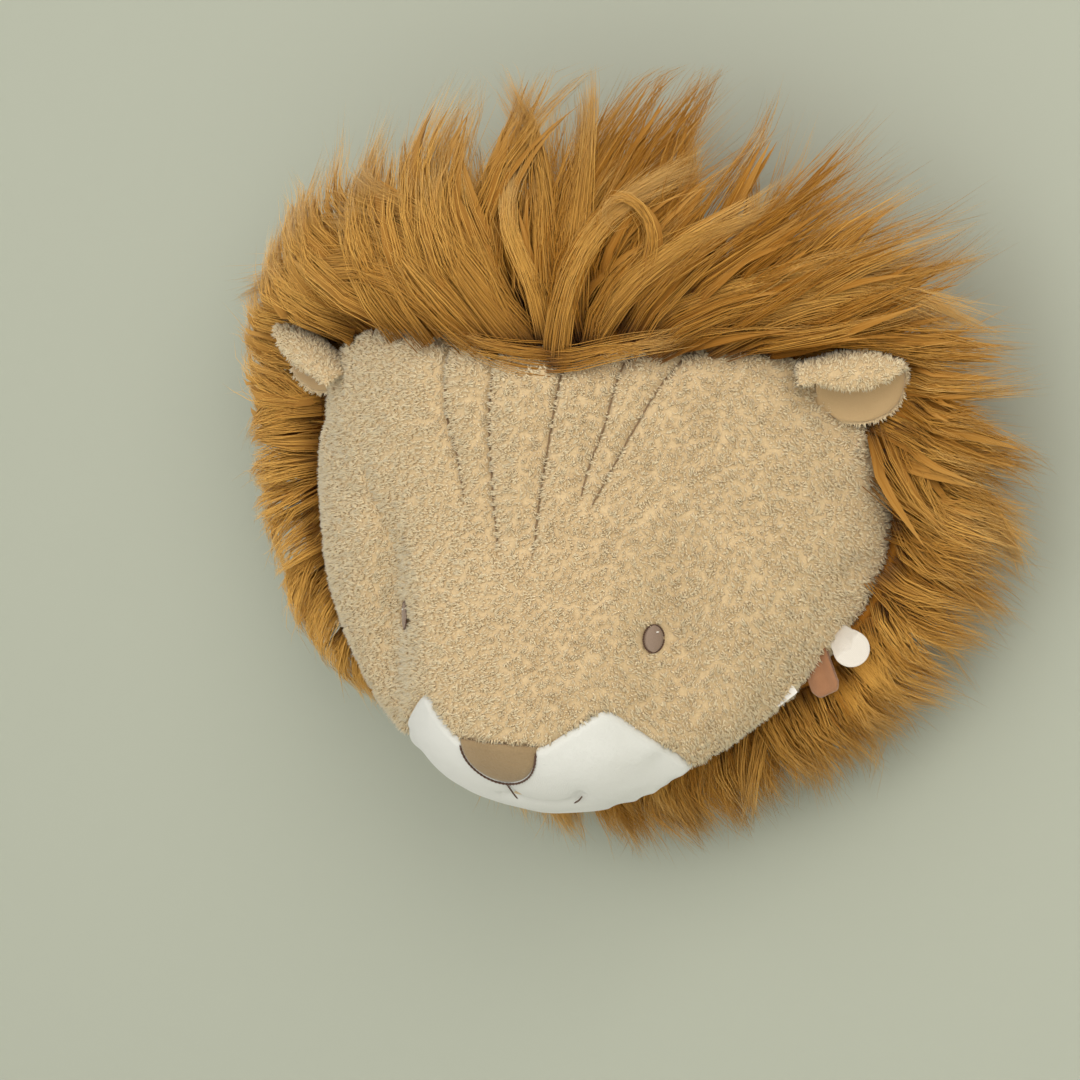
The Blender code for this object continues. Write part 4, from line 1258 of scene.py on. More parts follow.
@dataclass
class Mane:
    """The long fur: a dim underlay and dim inner locks, their dimness painted shade inside the coat, and fine
    strands gathered in locks of locks.
    """

    shape: HeadShape
    wardrobe: Wardrobe
    pieces: int = 4
    strands: int = 6200
    spacing: float = 0.0165
    pile: float = 0.078
    wisps: int = 3
    fill: float = 0.40
    body_half: float = 0.0026
    behind_ear: float = 0.064
    wall_gap: float = 0.0012
    soft_edge: float = 0.009
    limits: tuple = ((0, -0.203, 0.197), (2, -0.183, 0.171))
    front_flow: tuple = (
        (-90, -92), (-60, -88), (-45, -80), (-28, -67), (-15, -54), (0, -39), (15, -26), (30, -9),
        (45, 12), (60, 29), (72, 46), (82, 70), (90, 99), (100, 116), (115, 128), (130, 139),
        (145, 150), (160, 174), (172, 212), (185, 236), (205, 251), (230, 260), (250, 265), (270, 268),
    )
    back_flow: tuple = (
        (-90, -90), (-60, -84), (-45, -74), (-28, -64), (-15, -53), (0, -38), (15, -23), (30, 2),
        (45, 33), (60, 58), (72, 76), (82, 85), (90, 92), (100, 103), (115, 118), (130, 132),
        (145, 146), (160, 168), (172, 205), (185, 230), (205, 246), (230, 256), (250, 262), (270, 270),
    )
    beds: tuple = (
        (0.00, 1.0), (0.05, 1.0), (0.11, 1.0), (0.18, 1.0), (0.27, 1.0), (0.38, 1.0),
        (0.0, 0.84), (0.0, 0.66), (0.0, 0.47), (0.0, 0.28), (0.0, 0.10),
    )
    tones: tuple = (
        (-90, 0.27), (-45, 0.18), (-15, 0.36), (15, 0.46), (35, 0.27), (60, 0.14), (85, 0.10),
        (98, 0.32), (115, 0.64), (140, 0.78), (170, 0.96), (200, 0.96), (235, 0.66), (270, 0.42),
    )
    heroes: tuple = (
        HeroLock(((0.0104, 0.1171, 0.0529), (0.0179, 0.1289, 0.0730), (0.0279, 0.1333, 0.0974),
                  (0.0392, 0.1234, 0.1185), (0.0554, 0.1087, 0.1307), (0.0728, 0.0890, 0.1396)),
                 0.0068, 360, 0.56),
        HeroLock(((0.0251, 0.1155, 0.0598), (0.0397, 0.1262, 0.0772), (0.0572, 0.1265, 0.0942),
                  (0.0762, 0.1164, 0.1080), (0.0980, 0.0975, 0.1191), (0.1136, 0.0715, 0.1327)),
                 0.0060, 240, 0.47),
        HeroLock(((0.0489, 0.1102, 0.0634), (0.0722, 0.1180, 0.0766), (0.0988, 0.1134, 0.0875),
                  (0.1233, 0.0999, 0.0934), (0.1447, 0.0803, 0.0966), (0.1646, 0.0531, 0.1003)),
                 0.0062, 240, 0.48),
        HeroLock(((0.0081, 0.1173, 0.0619), (0.0086, 0.1314, 0.0870), (-0.0017, 0.1312, 0.1067),
                  (-0.0083, 0.1229, 0.1203), (-0.0125, 0.1089, 0.1332), (-0.0168, 0.0920, 0.1458)),
                 0.0050, 240, 0.67),
        HeroLock(((-0.0014, 0.1175, 0.0582), (-0.0156, 0.1295, 0.0793), (-0.0342, 0.1289, 0.1010),
                  (-0.0611, 0.1169, 0.1156), (-0.0956, 0.0957, 0.1224), (-0.1210, 0.0628, 0.1351)),
                 0.0072, 300, 0.50),
        HeroLock(((-0.0310, 0.1143, 0.0587), (-0.0499, 0.1246, 0.0783), (-0.0742, 0.1223, 0.0902),
                  (-0.1041, 0.1111, 0.0891), (-0.1450, 0.0860, 0.0800), (-0.1960, 0.0440, 0.0660)),
                 0.0064, 260, 0.48),
        HeroLock(((-0.0128, 0.1170, 0.0582), (-0.0325, 0.1285, 0.0836), (-0.0612, 0.1233, 0.1035),
                  (-0.0950, 0.1072, 0.1097), (-0.1316, 0.0855, 0.1070)), 0.0066, 260, 0.53),
        HeroLock(((0.0199, 0.1177, 0.0650), (0.0258, 0.1292, 0.0931), (0.0254, 0.1210, 0.1181),
                  (0.0161, 0.0950, 0.1442), (0.0043, 0.0681, 0.1635), (-0.0086, 0.0466, 0.1826)),
                 0.0056, 240, 0.31),
        HeroLock(((0.0134, 0.1201, 0.0692), (0.0137, 0.1282, 0.1008), (0.0061, 0.1162, 0.1247),
                  (-0.0146, 0.0879, 0.1497), (-0.0357, 0.0653, 0.1646), (-0.0511, 0.0485, 0.1781)),
                 0.0052, 220, 0.39),
        HeroLock(((0.0569, 0.1258, 0.0906), (0.0601, 0.1246, 0.1080), (0.0544, 0.1230, 0.1193),
                  (0.0451, 0.1230, 0.1245), (0.0393, 0.1250, 0.1212), (0.0396, 0.1280, 0.1147),
                  (0.0454, 0.1270, 0.1116), (0.0500, 0.1240, 0.1150)), 0.0016, 34, 0.51),
        HeroLock(((0.0737, 0.1020, 0.0645), (0.1051, 0.1068, 0.0791), (0.1328, 0.0949, 0.0864),
                  (0.1544, 0.0758, 0.0840), (0.1717, 0.0575, 0.0740), (0.1870, 0.0402, 0.0639)),
                 0.0064, 260, 0.51),
        HeroLock(((0.1397, 0.0564, 0.0084), (0.1616, 0.0615, 0.0072), (0.1759, 0.0517, -0.0027),
                  (0.1859, 0.0382, -0.0213), (0.1900, 0.0291, -0.0419)), 0.0066, 200, 0.48),
        HeroLock(((0.0103, 0.1215, 0.0553), (0.0257, 0.1262, 0.0570), (0.0437, 0.1265, 0.0618),
                  (0.0634, 0.1245, 0.0656), (0.0831, 0.1205, 0.0686)), 0.0056, 46, 0.28),
        HeroLock(((0.0146, 0.1225, 0.0531), (0.0332, 0.1268, 0.0577), (0.0551, 0.1262, 0.0618),
                  (0.0793, 0.1225, 0.0656)), 0.0050, 26, 0.33),
        HeroLock(((0.0120, 0.1215, 0.0545), (-0.0040, 0.1258, 0.0562), (-0.0240, 0.1255, 0.0602),
                  (-0.0450, 0.1218, 0.0655)), 0.0054, 70, 0.32),
    )

    def flow(self, theta: np.ndarray, front: np.ndarray) -> np.ndarray:
        """The direction in which the coat is combed at an angle round the head."""
        degrees = (np.degrees(theta) + 90) % 360 - 90
        tables = [np.array(table, float) for table in (self.front_flow, self.back_flow)]
        ahead, behind = (np.interp(degrees, table[:, 0], table[:, 1]) for table in tables)
        return np.radians(front * ahead + (1 - front) * behind)

    def scalp(self, theta: np.ndarray, layer: np.ndarray) -> tuple[np.ndarray, np.ndarray]:
        """Distance and depth of the cloth that the fur grows from; layer 1 is at the seam, 0 at the wall."""
        lip = self.shape.lip_depth(theta)
        seam = self.shape.edge_depth(theta)
        share = np.clip((lip - self.shape.rear_depth) / (seam - self.shape.rear_depth), 0, 1)
        rear, edge = self.shape.rear_radius(theta), self.shape.face_radius(theta)
        lip_radius = rear + share * (edge - rear) + 0.002
        radius = self.shape.panel_radius(theta) * (1 - layer) + lip_radius * layer
        return radius, 0.006 * (1 - layer) + lip * layer

    def height(self, theta: np.ndarray, share: np.ndarray, layer: np.ndarray) -> np.ndarray:
        """Depth of a layer of fur at a share of the way from the scalp to the outline."""
        root = self.scalp(theta, layer)[1]
        top = smooth_step(np.sin(theta))
        tip = 0.026 + 0.020 * top
        puff = 0.011 + 0.017 * top
        share = np.maximum(share, 0)
        ease = np.minimum(share, 1.1) ** 1.25
        upper = root * (1 - ease) + (0.006 * (1 - layer) + tip * layer) * ease
        return upper + layer * puff * np.sin(math.pi * np.minimum(1.0, share + 0.04))

    def guides(self, chance: np.random.Generator) -> Locks:
        """Spreads big locks evenly over the coat and combs them.

        Args:
            chance: The seeded source of chance.

        Returns:
            Paths of LOCK_POINTS points, with each lock's outward side, width, tone and length.
        """
        places = []
        for row, layer in self.beds:
            number = int(2 * math.pi * (0.128 + 0.05 * row) / self.spacing)
            spots = np.arange(number) + chance.uniform(-0.45, 0.45, number)
            angles = spots * 2 * math.pi / number - math.pi / 2
            places.append(np.stack([angles, np.full(number, row), np.full(number, layer)], axis=1))
        theta, row, layer = np.vstack(places).T
        count = len(theta)
        row = np.maximum(row + chance.normal(0, 0.02, count), 0.0)
        layer = np.where(layer < 1, np.clip(layer + chance.normal(0, 0.05, count), 0, 1), 1.0)
        on_top = layer >= 1
        front = np.clip(1 - row / 0.38, 0, 1) * np.clip(layer * 1.6 - 0.5, 0, 1)
        inner = self.scalp(theta, layer)[0]
        room = self.shape.mane_radius(theta) - inner
        at = (inner + row * room)[:, None] * np.stack([np.cos(theta), np.sin(theta)], axis=1)
        at[:, 1] += self.shape.centre_z
        length = self.pile * chance.uniform(0.85, 1.08, count)
        length = length * (1 + 0.25 * smooth_step(np.sin(theta)) * on_top)
        limit = 1.13 - 0.05 * (1 - layer) - 0.13 * np.abs(chance.normal(0, 1, count))
        limit = limit - 0.16 * bell(theta - 3.6, 0.35)
        turn = np.radians(7 * np.sin(5 * theta + 4 * row + 1.1) + 5 * np.sin(11 * theta - 9 * row)
                          + chance.normal(0, 9, count))
        curve = np.radians(chance.normal(0, 22, count) + 10 * np.sin(7 * theta + 2.2))
        up_tips = bell(theta - 0.95, 0.55, 4) * np.radians(26) - bell(theta + 0.1, 0.55) * np.radians(14)
        hook = np.radians(chance.normal(0, 20, count)) + up_tips
        rise = chance.uniform(0.001, 0.012, count) * np.where(on_top, 1, 0.4)
        steps = 33
        points, shares = [], []
        for i in range(steps):
            t = i / (steps - 1)
            angle = np.arctan2(at[:, 1] - self.shape.centre_z, at[:, 0])
            far = np.hypot(at[:, 0], at[:, 1] - self.shape.centre_z)
            base = self.scalp(angle, layer)[0]
            share = (far - base) / (self.shape.mane_radius(angle) - base)
            sink = -0.012 * (1 - min(t * 3, 1.0)) ** 2
            lift = rise * math.sin(math.pi * min(t * 1.1, 1.0)) + sink * (row > 0.03)
            points.append(np.stack([at[:, 0], -(self.height(angle, share, layer) + lift), at[:, 1]], axis=1))
            shares.append(share)
            course = self.flow(angle, front) + turn + curve * (t - 0.35) + hook * t**3
            at = at + (length / (steps - 1))[:, None] * np.stack([np.cos(course), np.sin(course)], axis=1)
        paths, shares = np.stack(points, axis=1), np.stack(shares, axis=1)
        past = shares > limit[:, None]
        last = np.where(past.any(axis=1), past.argmax(axis=1), steps - 1).astype(float)
        keep = last > 9
        paths, last = paths[keep], last[keep]
        places = np.linspace(0, 1, LOCK_POINTS)[None] * last[:, None]
        paths = at_places(paths, np.arange(len(paths)), places)
        theta, layer, length = theta[keep], layer[keep], length[keep] * last / (steps - 1)
        return {"path": self._clear(paths), "outward": self._outward(theta, layer), "length": length,
                "tone": np.clip(self._tone(theta) + chance.normal(0, 0.13, len(theta)), 0, 1),
                "width": chance.uniform(0.0080, 0.0125, len(theta)), "theta": theta}

    def _tone(self, theta: np.ndarray) -> np.ndarray:
        """How pale the coat is at an angle round the head."""
        table = np.array(self.tones, float)
        return np.interp((np.degrees(theta) + 90) % 360 - 90, table[:, 0], table[:, 1])

    def _outward(self, theta: np.ndarray, layer: np.ndarray) -> np.ndarray:
        """The side that fur looks to: forward on top, more to the side lower down, back at the wall."""
        tilt = np.radians(35 + 70 * (1 - layer))
        return np.stack([np.sin(tilt) * np.cos(theta), -np.cos(tilt), np.sin(tilt) * np.sin(theta)], axis=1)

    def _clear(self, paths: np.ndarray) -> np.ndarray:
        """Keeps fur in front of the wall, behind the ears and off the labels."""
        x, z = np.abs(paths[..., 0]), paths[..., 2]
        depth = -paths[..., 1]
        ear = smooth_step((x - 0.104) / 0.012) * (1 - smooth_step((x - 0.152) / 0.015))
        ear = ear * smooth_step((z - 0.012) / 0.012) * (1 - smooth_step((z - 0.052) / 0.014))
        depth = depth - np.maximum(depth - self.behind_ear, 0) * ear
        tags = smooth_step((paths[..., 0] - 0.098) / 0.008)
        tags = tags * (1 - smooth_step((paths[..., 0] - 0.145) / 0.012))
        tags = tags * smooth_step((z + 0.106) / 0.010) * (1 - smooth_step((z + 0.050) / 0.010))
        depth = depth - np.maximum(depth - self.behind_ear, 0) * tags
        paths = paths.copy()
        paths[..., 1] = -np.maximum(depth, self.wall_gap)
        for axis, low, high in self.limits:
            over = np.maximum(paths[..., axis] - high, 0) + np.minimum(paths[..., axis] - low, 0)
            paths[..., axis] += self.soft_edge * np.tanh(over / self.soft_edge) - over
        return paths

    def sublocks(self, guides: Locks, chance: np.random.Generator, each: int) -> Locks:
        """Splits every big lock into finer ones that lie round its middle line."""
        of = np.repeat(np.arange(len(guides["tone"])), each)
        count = len(of)
        spread = np.sqrt(chance.random(count))
        turn = chance.uniform(0, 2 * math.pi, count)
        bend, reach = chance.normal(0, 0.062, count), chance.uniform(0.82, 1.07, count)
        # Finer locks that lie higher in their big lock are paler and the lower ones darker: painted highlight
        # on the crests and painted shade in the valleys.
        tone = guides["tone"][of] + chance.normal(0, 0.07, count) + 0.07 * np.sin(turn)
        return {"of": of, "side": spread * np.cos(turn), "up": spread * np.sin(turn), "bend": bend,
                "reach": reach, "tone": np.clip(tone, 0, 1)}

    def _on_locks(self, path: np.ndarray, rows: np.ndarray, shares: np.ndarray) -> np.ndarray:
        """Points at shares of the length of big locks, none past their tips."""
        return at_places(path, rows, np.clip(shares * (LOCK_POINTS - 1), 0, LOCK_POINTS - 1.001))

    def lay(self, guides: Locks, locks: Locks, pick: np.ndarray, steps: int,
            chance: np.random.Generator) -> tuple[np.ndarray, np.ndarray]:
        """Lays strands along the locks that they were given to.

        Args:
            guides: The big locks.
            locks: The finer locks.
            pick: Each strand's finer lock.
            steps: Points of a strand.
            chance: The seeded source of chance.

        Returns:
            The strands' paths and tones.
        """
        of, count = locks["of"][pick], len(pick)
        stray = chance.random(count) < 0.10
        reach = locks["reach"][pick] * chance.uniform(0.84, 1.05, count) + np.where(stray, 0.07, 0.0)
        t = np.linspace(0, 1, steps)[None]
        path = guides["path"]
        middle = self._on_locks(path, of, t * reach[:, None])
        over = np.clip(t * reach[:, None] - 1, 0, None)[..., None] * guides["length"][of][:, None, None]
        middle = middle + unit(path[of, -1] - path[of, -4])[:, None, :] * over
        side, up = strand_sides(middle, guides["outward"][of])
        wide, length = guides["width"][of][:, None], guides["length"][of][:, None]
        gather, pinch = 1 - 0.70 * t**1.6, 1 - 0.86 * t**1.5
        a, b = chance.normal(0, 0.5, (2, count))
        wild = np.where(stray, 0.0056, 0.0013)[:, None] * t**2
        sideways = (locks["side"][pick][:, None] * wide * gather + a[:, None] * 0.0040 * pinch
                    + locks["bend"][pick][:, None] * length * t**2
                    + chance.normal(0, 1, count)[:, None] * wild)
        phase, times = chance.uniform(0, 6.28, count)[:, None], chance.uniform(1.0, 2.0, count)[:, None]
        sideways = sideways + 0.0009 * np.sin(phase + times * 3.14 * t) * t
        upwards = (locks["up"][pick][:, None] * wide * 0.24 * gather + b[:, None] * 0.0022 * pinch
                   + chance.normal(0, 1, count)[:, None] * wild * 0.8)
        paths = middle + side * sideways[..., None] + up * upwards[..., None]
        # Strands that lie further out are paler: painted highlight on top of the lock and painted shade
        # beneath it.
        tones = np.clip(locks["tone"][pick] + chance.normal(0, 0.07, count) + 0.05 * b, 0, 1)
        return self._clear(paths), tones

    def strand_set(self, name: str, guides: Locks, locks: Locks, pick: np.ndarray, steps: int,
                   chance: np.random.Generator) -> None:
        """Makes one piece of fine strands."""
        paths, tones = self.lay(guides, locks, pick, steps, chance)
        taper = 1 - 0.86 * np.linspace(0, 1, steps)[None] ** 1.4
        widths = chance.uniform(0.00017, 0.00032, len(pick))[:, None] * taper
        outward = guides["outward"][locks["of"][pick]] + chance.normal(0, 0.45, (len(pick), 3))
        piece = strands_piece(name, paths, widths, unit(outward), tones)
        self.wardrobe.dress(piece, Cloth.FUR, "mane_fur")

    def lock_bodies(self, name: str, guides: Locks, locks: Locks, half: float,
                    steps: int) -> None:
        """Flat pointed bodies of hair, one to each finer lock, that the loose strands lie on; their dim
        colour is painted shade inside the coat.

        Args:
            name: The piece's name.
            guides: The big locks.
            locks: The finer locks.
            half: Half width of a body at its widest.
            steps: Points along a body.
        """
        of = locks["of"]
        t = np.linspace(0, 1, steps)[None]
        middle = self._on_locks(guides["path"], of, t * locks["reach"][:, None] * 0.76)
        side, up = strand_sides(middle, guides["outward"][of])
        wide, length = guides["width"][of][:, None], guides["length"][of][:, None]
        gather = 1 - 0.45 * t**1.5
        sideways = locks["side"][:, None] * wide * gather + locks["bend"][:, None] * length * t**2
        sunk = 0.0028 * np.sin(math.pi * np.minimum(t + 0.2, 1.0))
        upwards = locks["up"][:, None] * wide * 0.20 * gather - sunk - 0.0006
        paths = self._clear(middle + side * sideways[..., None] + up * upwards[..., None])
        shape = np.minimum(0.55 + 1.6 * t, 1.0) * (1 - t**2.4)
        widths = half * (0.8 + 0.4 * locks["tone"][:, None]) * shape + 0 * sideways
        piece = strands_piece(name, paths, widths, guides["outward"][of], locks["tone"], 0.22, 4)
        self.wardrobe.dress(piece, Cloth.LOCKS, "mane_fur")

    def hero_set(self) -> None:
        """The locks that give this coat its face: the arc from the parting, the sweeps and the small curl."""
        chance = np.random.default_rng(77)
        lines = [smooth_line([(x, -depth, z) for x, depth, z in hero.line], LOCK_POINTS)
                 for hero in self.heroes]
        count = len(lines)
        guides = {"path": np.array(lines), "outward": np.tile((0.0, -1.0, 0.0), (count, 1)),
                  "length": np.array([np.linalg.norm(np.diff(line, axis=0), axis=1).sum() for line in lines]),
                  "tone": np.array([hero.tone for hero in self.heroes]),
                  "width": np.array([hero.width for hero in self.heroes])}
        each = 9
        locks = self.sublocks(guides, chance, each)
        locks["reach"] = 0.86 + (locks["reach"] - 0.86) * 0.6
        locks["bend"] = locks["bend"] * 0.4
        pick = np.concatenate([chance.integers(each * number, each * (number + 1), hero.strands)
                               for number, hero in enumerate(self.heroes)])
        self.strand_set("mane_hero_strands", guides, locks, pick, 9, chance)
        thick = {key: value[:each * (count - self.wisps)] for key, value in locks.items()}
        self.lock_bodies("mane_hero_locks", guides, thick, self.body_half, 13)

    def core(self) -> None:
        """The closed underlay that the fur grows from; it fills the coat to well short of its tips, and its
        dim colour, darkest by the face, is painted shade in the depth of the coat.
        """
        theta = full_turn(216)
        ones = np.ones_like(theta)
        rings = [self.shape.ring(theta, self.shape.rear_radius(theta) * 0.9,
                                 self.shape.rear_depth - 0.001 * ones)]
        radius, depth = self.scalp(theta, ones)
        rings.append(self.shape.ring(theta, radius - 0.0012, depth - 0.004))
        for share in np.linspace(0.03, self.fill, 10):
            at = radius + (self.shape.mane_radius(theta) - radius) * share
            ruffle = 0.0012 * np.sin(31 * theta + 9 * share) + 0.0009 * np.sin(53 * theta - 14 * share)
            rings.append(self.shape.ring(theta, at, self.height(theta, share * ones, ones)
                                         - 0.013 * smooth_step(share / 0.12) - 0.004 + ruffle))
        for layer in np.linspace(0.86, 0.0, 7):
            base = self.scalp(theta, layer * ones)[0]
            share = self.fill * layer**1.5
            at = base + (self.shape.mane_radius(theta) - base) * share
            deep = self.height(theta, share * ones, layer * ones) - 0.004
            rings.append(self.shape.ring(theta, at, np.maximum(deep, 0.002)))
        rings.append(self.shape.ring(theta, self.shape.panel_radius(theta) + 0.001, 0.002 * ones))
        piece = rings_piece("mane_underlay", [self._clear(ring) for ring in rings])
        flat = points_of(piece)
        corner = np.empty(len(piece.data.loops), np.int32)
        piece.data.loops.foreach_get("vertex_index", corner)
        angle = np.arctan2(flat[:, 2] - self.shape.centre_z, flat[:, 0])
        far = np.hypot(flat[:, 0], flat[:, 2] - self.shape.centre_z)
        share = np.clip((far - self.shape.face_radius(angle)) / 0.06, 0, 1)
        chart = np.stack([0.5 + 0.35 * np.sin(angle * 47), share], axis=1)[corner].astype(np.float32).ravel()
        for map_name in (STRAND_MAP, BAKE_MAP):
            piece.data.uv_layers.new(name=map_name).data.foreach_set("uv", chart)
        self.wardrobe.dress(piece, Cloth.UNDERFUR, "mane_fur", "mane", fill=0.5)

    def build(self) -> None:
        """Makes the underlay, the bodies of the locks and the loose strands."""
        self.core()
        chance = np.random.default_rng(5)
        guides = self.guides(chance)
        log.info("mane: %d big locks", len(guides["tone"]))
        under = self.sublocks(guides, chance, 3)
        on_top = np.sin(guides["theta"][under["of"]]) > 0.25
        under = {key: value[on_top] for key, value in under.items()}
        self.lock_bodies("mane_lock_bodies", guides, under, self.body_half, 8)
        locks = self.sublocks(guides, chance, 5)
        order = chance.permutation(self.pieces * self.strands) % len(locks["tone"])
        for number in range(self.pieces):
            pick = order[number * self.strands:(number + 1) * self.strands]
            self.strand_set(f"mane_strands_{number + 1}", guides, locks, pick, 5, chance)
        self.hero_set()


# Ears, labels and back


def shell_piece(name: str, outer: np.ndarray, inner: np.ndarray) -> bpy.types.Object:
    """A closed sheet between two grids of points of the same size, rounded once."""
    rows, columns = outer.shape[:2]
    number = np.arange(rows * columns).reshape(rows, columns)
    corners = [number[:-1, :-1], number[1:, :-1], number[1:, 1:], number[:-1, 1:]]
    top = np.stack([corner.ravel() for corner in corners], axis=1)
    border = np.concatenate([number[0, :-1], number[:-1, -1], number[-1, :0:-1], number[:0:-1, 0]])
    after = np.roll(border, -1)
    shift = rows * columns
    rim = np.stack([border, after, after + shift, border + shift], axis=1)
    points = np.vstack([outer.reshape(-1, 3), inner.reshape(-1, 3)])
    piece = mesh_piece(name, points, [np.vstack([top, top[:, ::-1] + shift, rim])])
    face_outwards(piece)
    round_once(piece)
    return piece


@dataclass(frozen=True)
class EarPose:
    """How one ear is folded; its x points away from the middle of the head."""

    side: int
    word: str
    seed: int
    root: Triple
    along: Triple
    opens: Triple
    front_width: float
    rear_width: float
    front_roll: float
    rear_roll: float
    length: float
    bow: float
    rear_rim: float

    def frame(self) -> tuple[Vector, Vector, Vector]:
        """The directions that the ear grows, opens and turns forward in."""
        axis = Vector(self.along).normalized()
        opens = Vector(self.opens)
        opens = (opens - axis * opens.dot(axis)).normalized()
        forward = axis.cross(opens)
        return axis, opens, -forward if forward.y > 0 else forward


@dataclass
class Ears:
    """The two folded ears, plush outside and smooth velour inside."""

    wardrobe: Wardrobe
    right: EarPose = EarPose(
        side=1, word="right", seed=41, root=(0.1125, -0.084, 0.0490), along=(0.90, 0.42, 0.02),
        opens=(0.30, -0.82, -0.48), front_width=0.0335, rear_width=0.0285, front_roll=0.0108,
        rear_roll=0.0330, length=0.043, bow=0.004, rear_rim=0.34)
    left: EarPose = EarPose(
        side=-1, word="left", seed=42, root=(0.1105, -0.087, 0.0415), along=(0.78, 0.30, 0.38),
        opens=(0.80, -0.10, -0.60), front_width=0.0205, rear_width=0.0320, front_roll=0.0092,
        rear_roll=0.0150, length=0.046, bow=0.0, rear_rim=0.66)
    arch: float = 0.0030
    start: float = -0.004
    lining_start: float = 0.0040
    plush: float = 0.0024
    lining: float = 0.0014
    puff: float = 0.0016
    tufts: int = 5200

    def build(self, pile: PlushPile) -> None:
        """Makes both ears with their pile."""
        for pose in (self.right, self.left):
            word = pose.word
            skin = shell_piece(f"ear_{word}_plush",
                               self._grid(pose, self._outer_skin, 1.0, self.start),
                               self._grid(pose, self._inner_skin, 1.0, self.start))
            self.wardrobe.dress(skin, Cloth.PLUSH, "beige_plush", f"ear_{word}", fill=0.4)
            lining = shell_piece(f"ear_{word}_lining",
                                 self._grid(pose, self._lining_top, 0.965, self.lining_start),
                                 self._grid(pose, self._lining_back, 0.965, self.lining_start))
            self.wardrobe.dress(lining, Cloth.LINING, "ear_velour", f"ear_lining_{word}", fill=0.3)
            inner = tree_of(lining)
            pile.on_piece(f"ear_{word}_pile", skin, pose.seed, self.tufts,
                          lambda at, out, inner=inner: self._bare(at, out, inner))

    def _grid(self, pose: EarPose, inward: Callable[[float, float], float], reach: float,
              start: float) -> np.ndarray:
        """Points of one surface of the ear, across it and out along it."""
        grid = []
        for i in range(29):
            t = -1 + i / 14
            t = math.copysign(abs(t) ** 0.85, t)
            width = pose.front_width if t > 0 else pose.rear_width
            rim = 0.34 if t > 0 else pose.rear_rim
            far = (rim + (1 - rim) * math.sqrt(1 - abs(t) ** 2.3)) * pose.length * reach
            row = []
            for share in np.linspace(0, 1, 15) ** 0.85:
                along = start + (far - start) * share
                slim = 0.46 if t < 0 else 0.46 + 0.26 * t
                swell = slim + (1 - slim) * float(smooth_step(along / pose.length / 0.46))
                point = self._point(pose, along, t * width * swell * (0.5 + 0.5 * reach), inward(t, share))
                row.append((pose.side * point.x, point.y, point.z))
            grid.append(row)
        return np.array(grid)

    def _point(self, pose: EarPose, along: float, across: float, inward: float) -> Vector:
        """A point of the cupped ear: a flat petal rolled tightly to the front and loosely to the rear."""
        axis, opens, forward = pose.frame()
        roll = pose.front_roll if across > 0 else pose.rear_roll
        turn = across / roll
        near = roll - inward
        arc = math.sin(math.pi * min(max(along / pose.length, 0.0), 1.0))
        middle = Vector(pose.root) + axis * along + opens * (roll - self.arch * arc)
        middle = middle + forward * pose.bow * arc
        return middle + forward * near * math.sin(turn) - opens * near * math.cos(turn)

    def _edge(self, t: float, share: float) -> float:
        """1 in the middle of the ear and 0 at its rim."""
        return math.sqrt(max((1 - abs(t) ** 4) * (1 - share**6), 0.0))

    def _outer_skin(self, t: float, share: float) -> float:
        """How far in the plush surface lies, pillowed towards the rim."""
        return 0.0006 - self.puff * self._edge(t, share)

    def _inner_skin(self, t: float, share: float) -> float:
        """How far in the back of the plush lies."""
        return self.plush - 0.0004 * (1 - self._edge(t, share))

    def _lining_top(self, t: float, share: float) -> float:
        """The lining's outer face, against the plush."""
        return self.plush + 0.0004

    def _lining_back(self, t: float, share: float) -> float:
        """The lining's own surface, soft and a little full."""
        return self.plush + 0.0004 + (self.lining + 0.0009) * (0.25 + 0.75 * self._edge(t, share))

    def _bare(self, at: np.ndarray, out: np.ndarray, inner: BVHTree) -> np.ndarray:
        """Which roots face the lining, where no pile grows."""
        near = [inner.ray_cast(Vector(p) + Vector(n) * 0.0002, Vector(n), 0.004)[0] is not None
                or inner.find_nearest(Vector(p))[3] < 0.0011 for p, n in zip(at, out)]
        return np.array(near)


